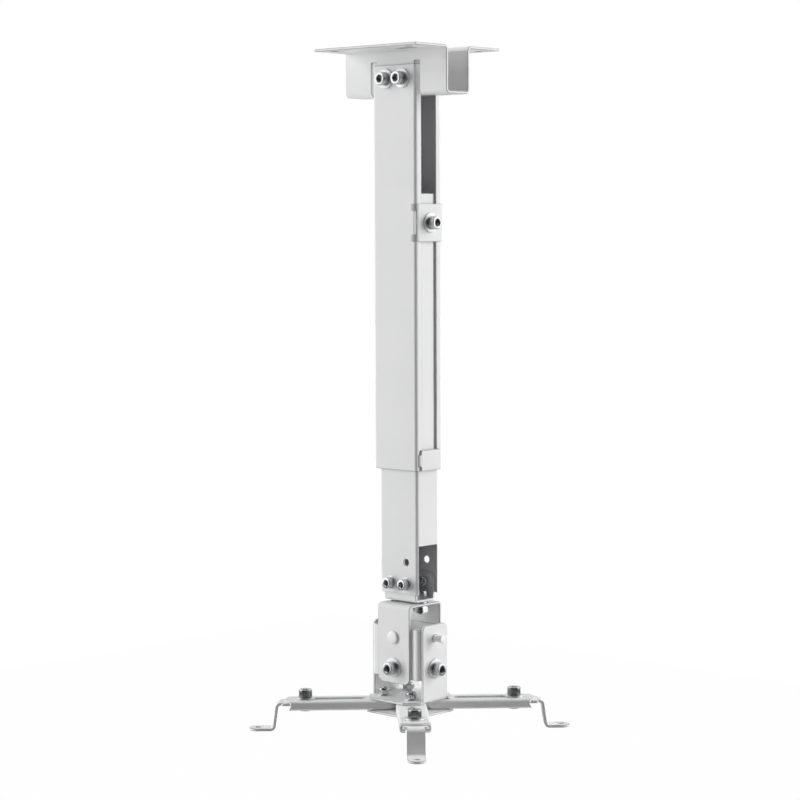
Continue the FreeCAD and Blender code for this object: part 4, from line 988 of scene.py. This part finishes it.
# %% [markdown]
# ## Lock nuts of the base
# The four nuts on the base are lock nuts: above the hexagon a thin collar is rolled over a nylon
# ring, which grips the thread. Nut and ring are two separate pieces, as in the real thing, because
# each has a material of its own, and the ring sits in a groove that the nut's rings leave free. A
# pale band painted on the nut would be simpler, but it wouldn't show the step between the two.

# %% Make the lock nuts
COLLAR, GROOVE = 1.5, 0.75
NYLON_HOLE, NYLON_EDGE, NYLON_DEEP = 2.38, 3.04, 1.4


def lock_nut(name, flats, bore, tall):
    """A nut with a collar; the groove below the collar is open to the hole."""
    rings = [round_ring(bore / 2 + GROOVE, 0.10), round_ring(flats / 2 - 1.15, 0.0),
             round_ring(flats / 2 - 0.65, 0.2), round_ring(flats / 2 - 0.35, 0.7),
             round_ring(flats / 2 - 0.30, COLLAR), hex_ring(flats, COLLAR + 0.1, CORNER_CUT),
             hex_ring(flats, tall - 0.5), round_ring(flats / 2 - FACE_INSET, tall),
             round_ring(bore / 2 + 0.3, tall), round_ring(bore / 2, tall - 0.3),
             round_ring(bore / 2, COLLAR), round_ring(bore / 2 + GROOVE, COLLAR)]
    return stack(name, rings, looped=True)


seats = seats_of("hub_nuts", Z_AXIS, 1)
master = lock_nut("hub_nut_master", tall=seats[0][2] / MM, **SIZE_M5)
set_fasteners("hub_nuts", seats, master, ZINC)
master = stack("nylon_master", [
    round_ring(NYLON_HOLE, 0.25), round_ring(3.0, 0.12), round_ring(NYLON_EDGE, 0.14),
    round_ring(NYLON_EDGE, NYLON_DEEP), round_ring(NYLON_HOLE, NYLON_DEEP)], looped=True)
set_fasteners("hub_nuts", seats, master, NYLON, name="hub_nut_rings")
print(len(seats), "lock nuts with nylon rings")

# %% [markdown]
# ## Rivets and pivot pins
# The front pivots are rivets with a low round head that narrows again towards the yoke, so that a
# thin shadow lies around it. The side pivots are pins whose outer ends were pressed a little wider
# than the shank, and whose heads are inside the block. A squashed sphere would pass for a rivet
# from far away. A stack of rings shows the turned rim too. Both get a glossier coat than the
# sheets, and its lighter colour is painted light.

# %% Make the pivots
PIVOT_SIZES = {"head_dia": 9.6, "head_thick": 1.8, "shank_dia": 5.3}


def rivet(name, head_dia, head_thick, shank_dia, total):
    """A rivet with its head's outer face at zero; all sizes are in millimetres."""
    head, shank = head_dia / 2, shank_dia / 2
    rings = [round_ring(head * 0.55, 0.0), round_ring(head - 0.7, 0.06),
             round_ring(head - 0.25, 0.25), round_ring(head - 0.04, 0.62),
             round_ring(head, 1.0), round_ring(head - 0.55, head_thick),
             round_ring(shank, head_thick), round_ring(shank, total - 0.3),
             round_ring(shank - 0.3, total)]
    return stack(name, rings)


def pivot_pin(name, head_dia, head_thick, shank_dia, total):
    """A pin with its widened end's face at zero and its head at the inner end."""
    head, shank = head_dia / 2, shank_dia / 2
    inner = total - head_thick
    rings = [round_ring(shank, 0.0), round_ring(shank + 0.45, 0.1), round_ring(shank + 0.7, 0.45),
             round_ring(shank + 0.6, 1.1), round_ring(shank, 1.3), round_ring(shank, inner),
             round_ring(head - 0.1, inner), round_ring(head, inner + 0.1),
             round_ring(head, total - 0.3), round_ring(head - 0.3, total)]
    return stack(name, rings)


for node, axis, make in (("roll_rivets", Y_AXIS, rivet), ("pitch_pins", X_AXIS, pivot_pin)):
    seats = seats_of(node, axis, "out")
    master = make(node + "_master", total=seats[0][2] / MM, **PIVOT_SIZES)
    set_fasteners(node, seats, master, RIVET_LIGHT_COAT)
    print(len(seats), "of", node)
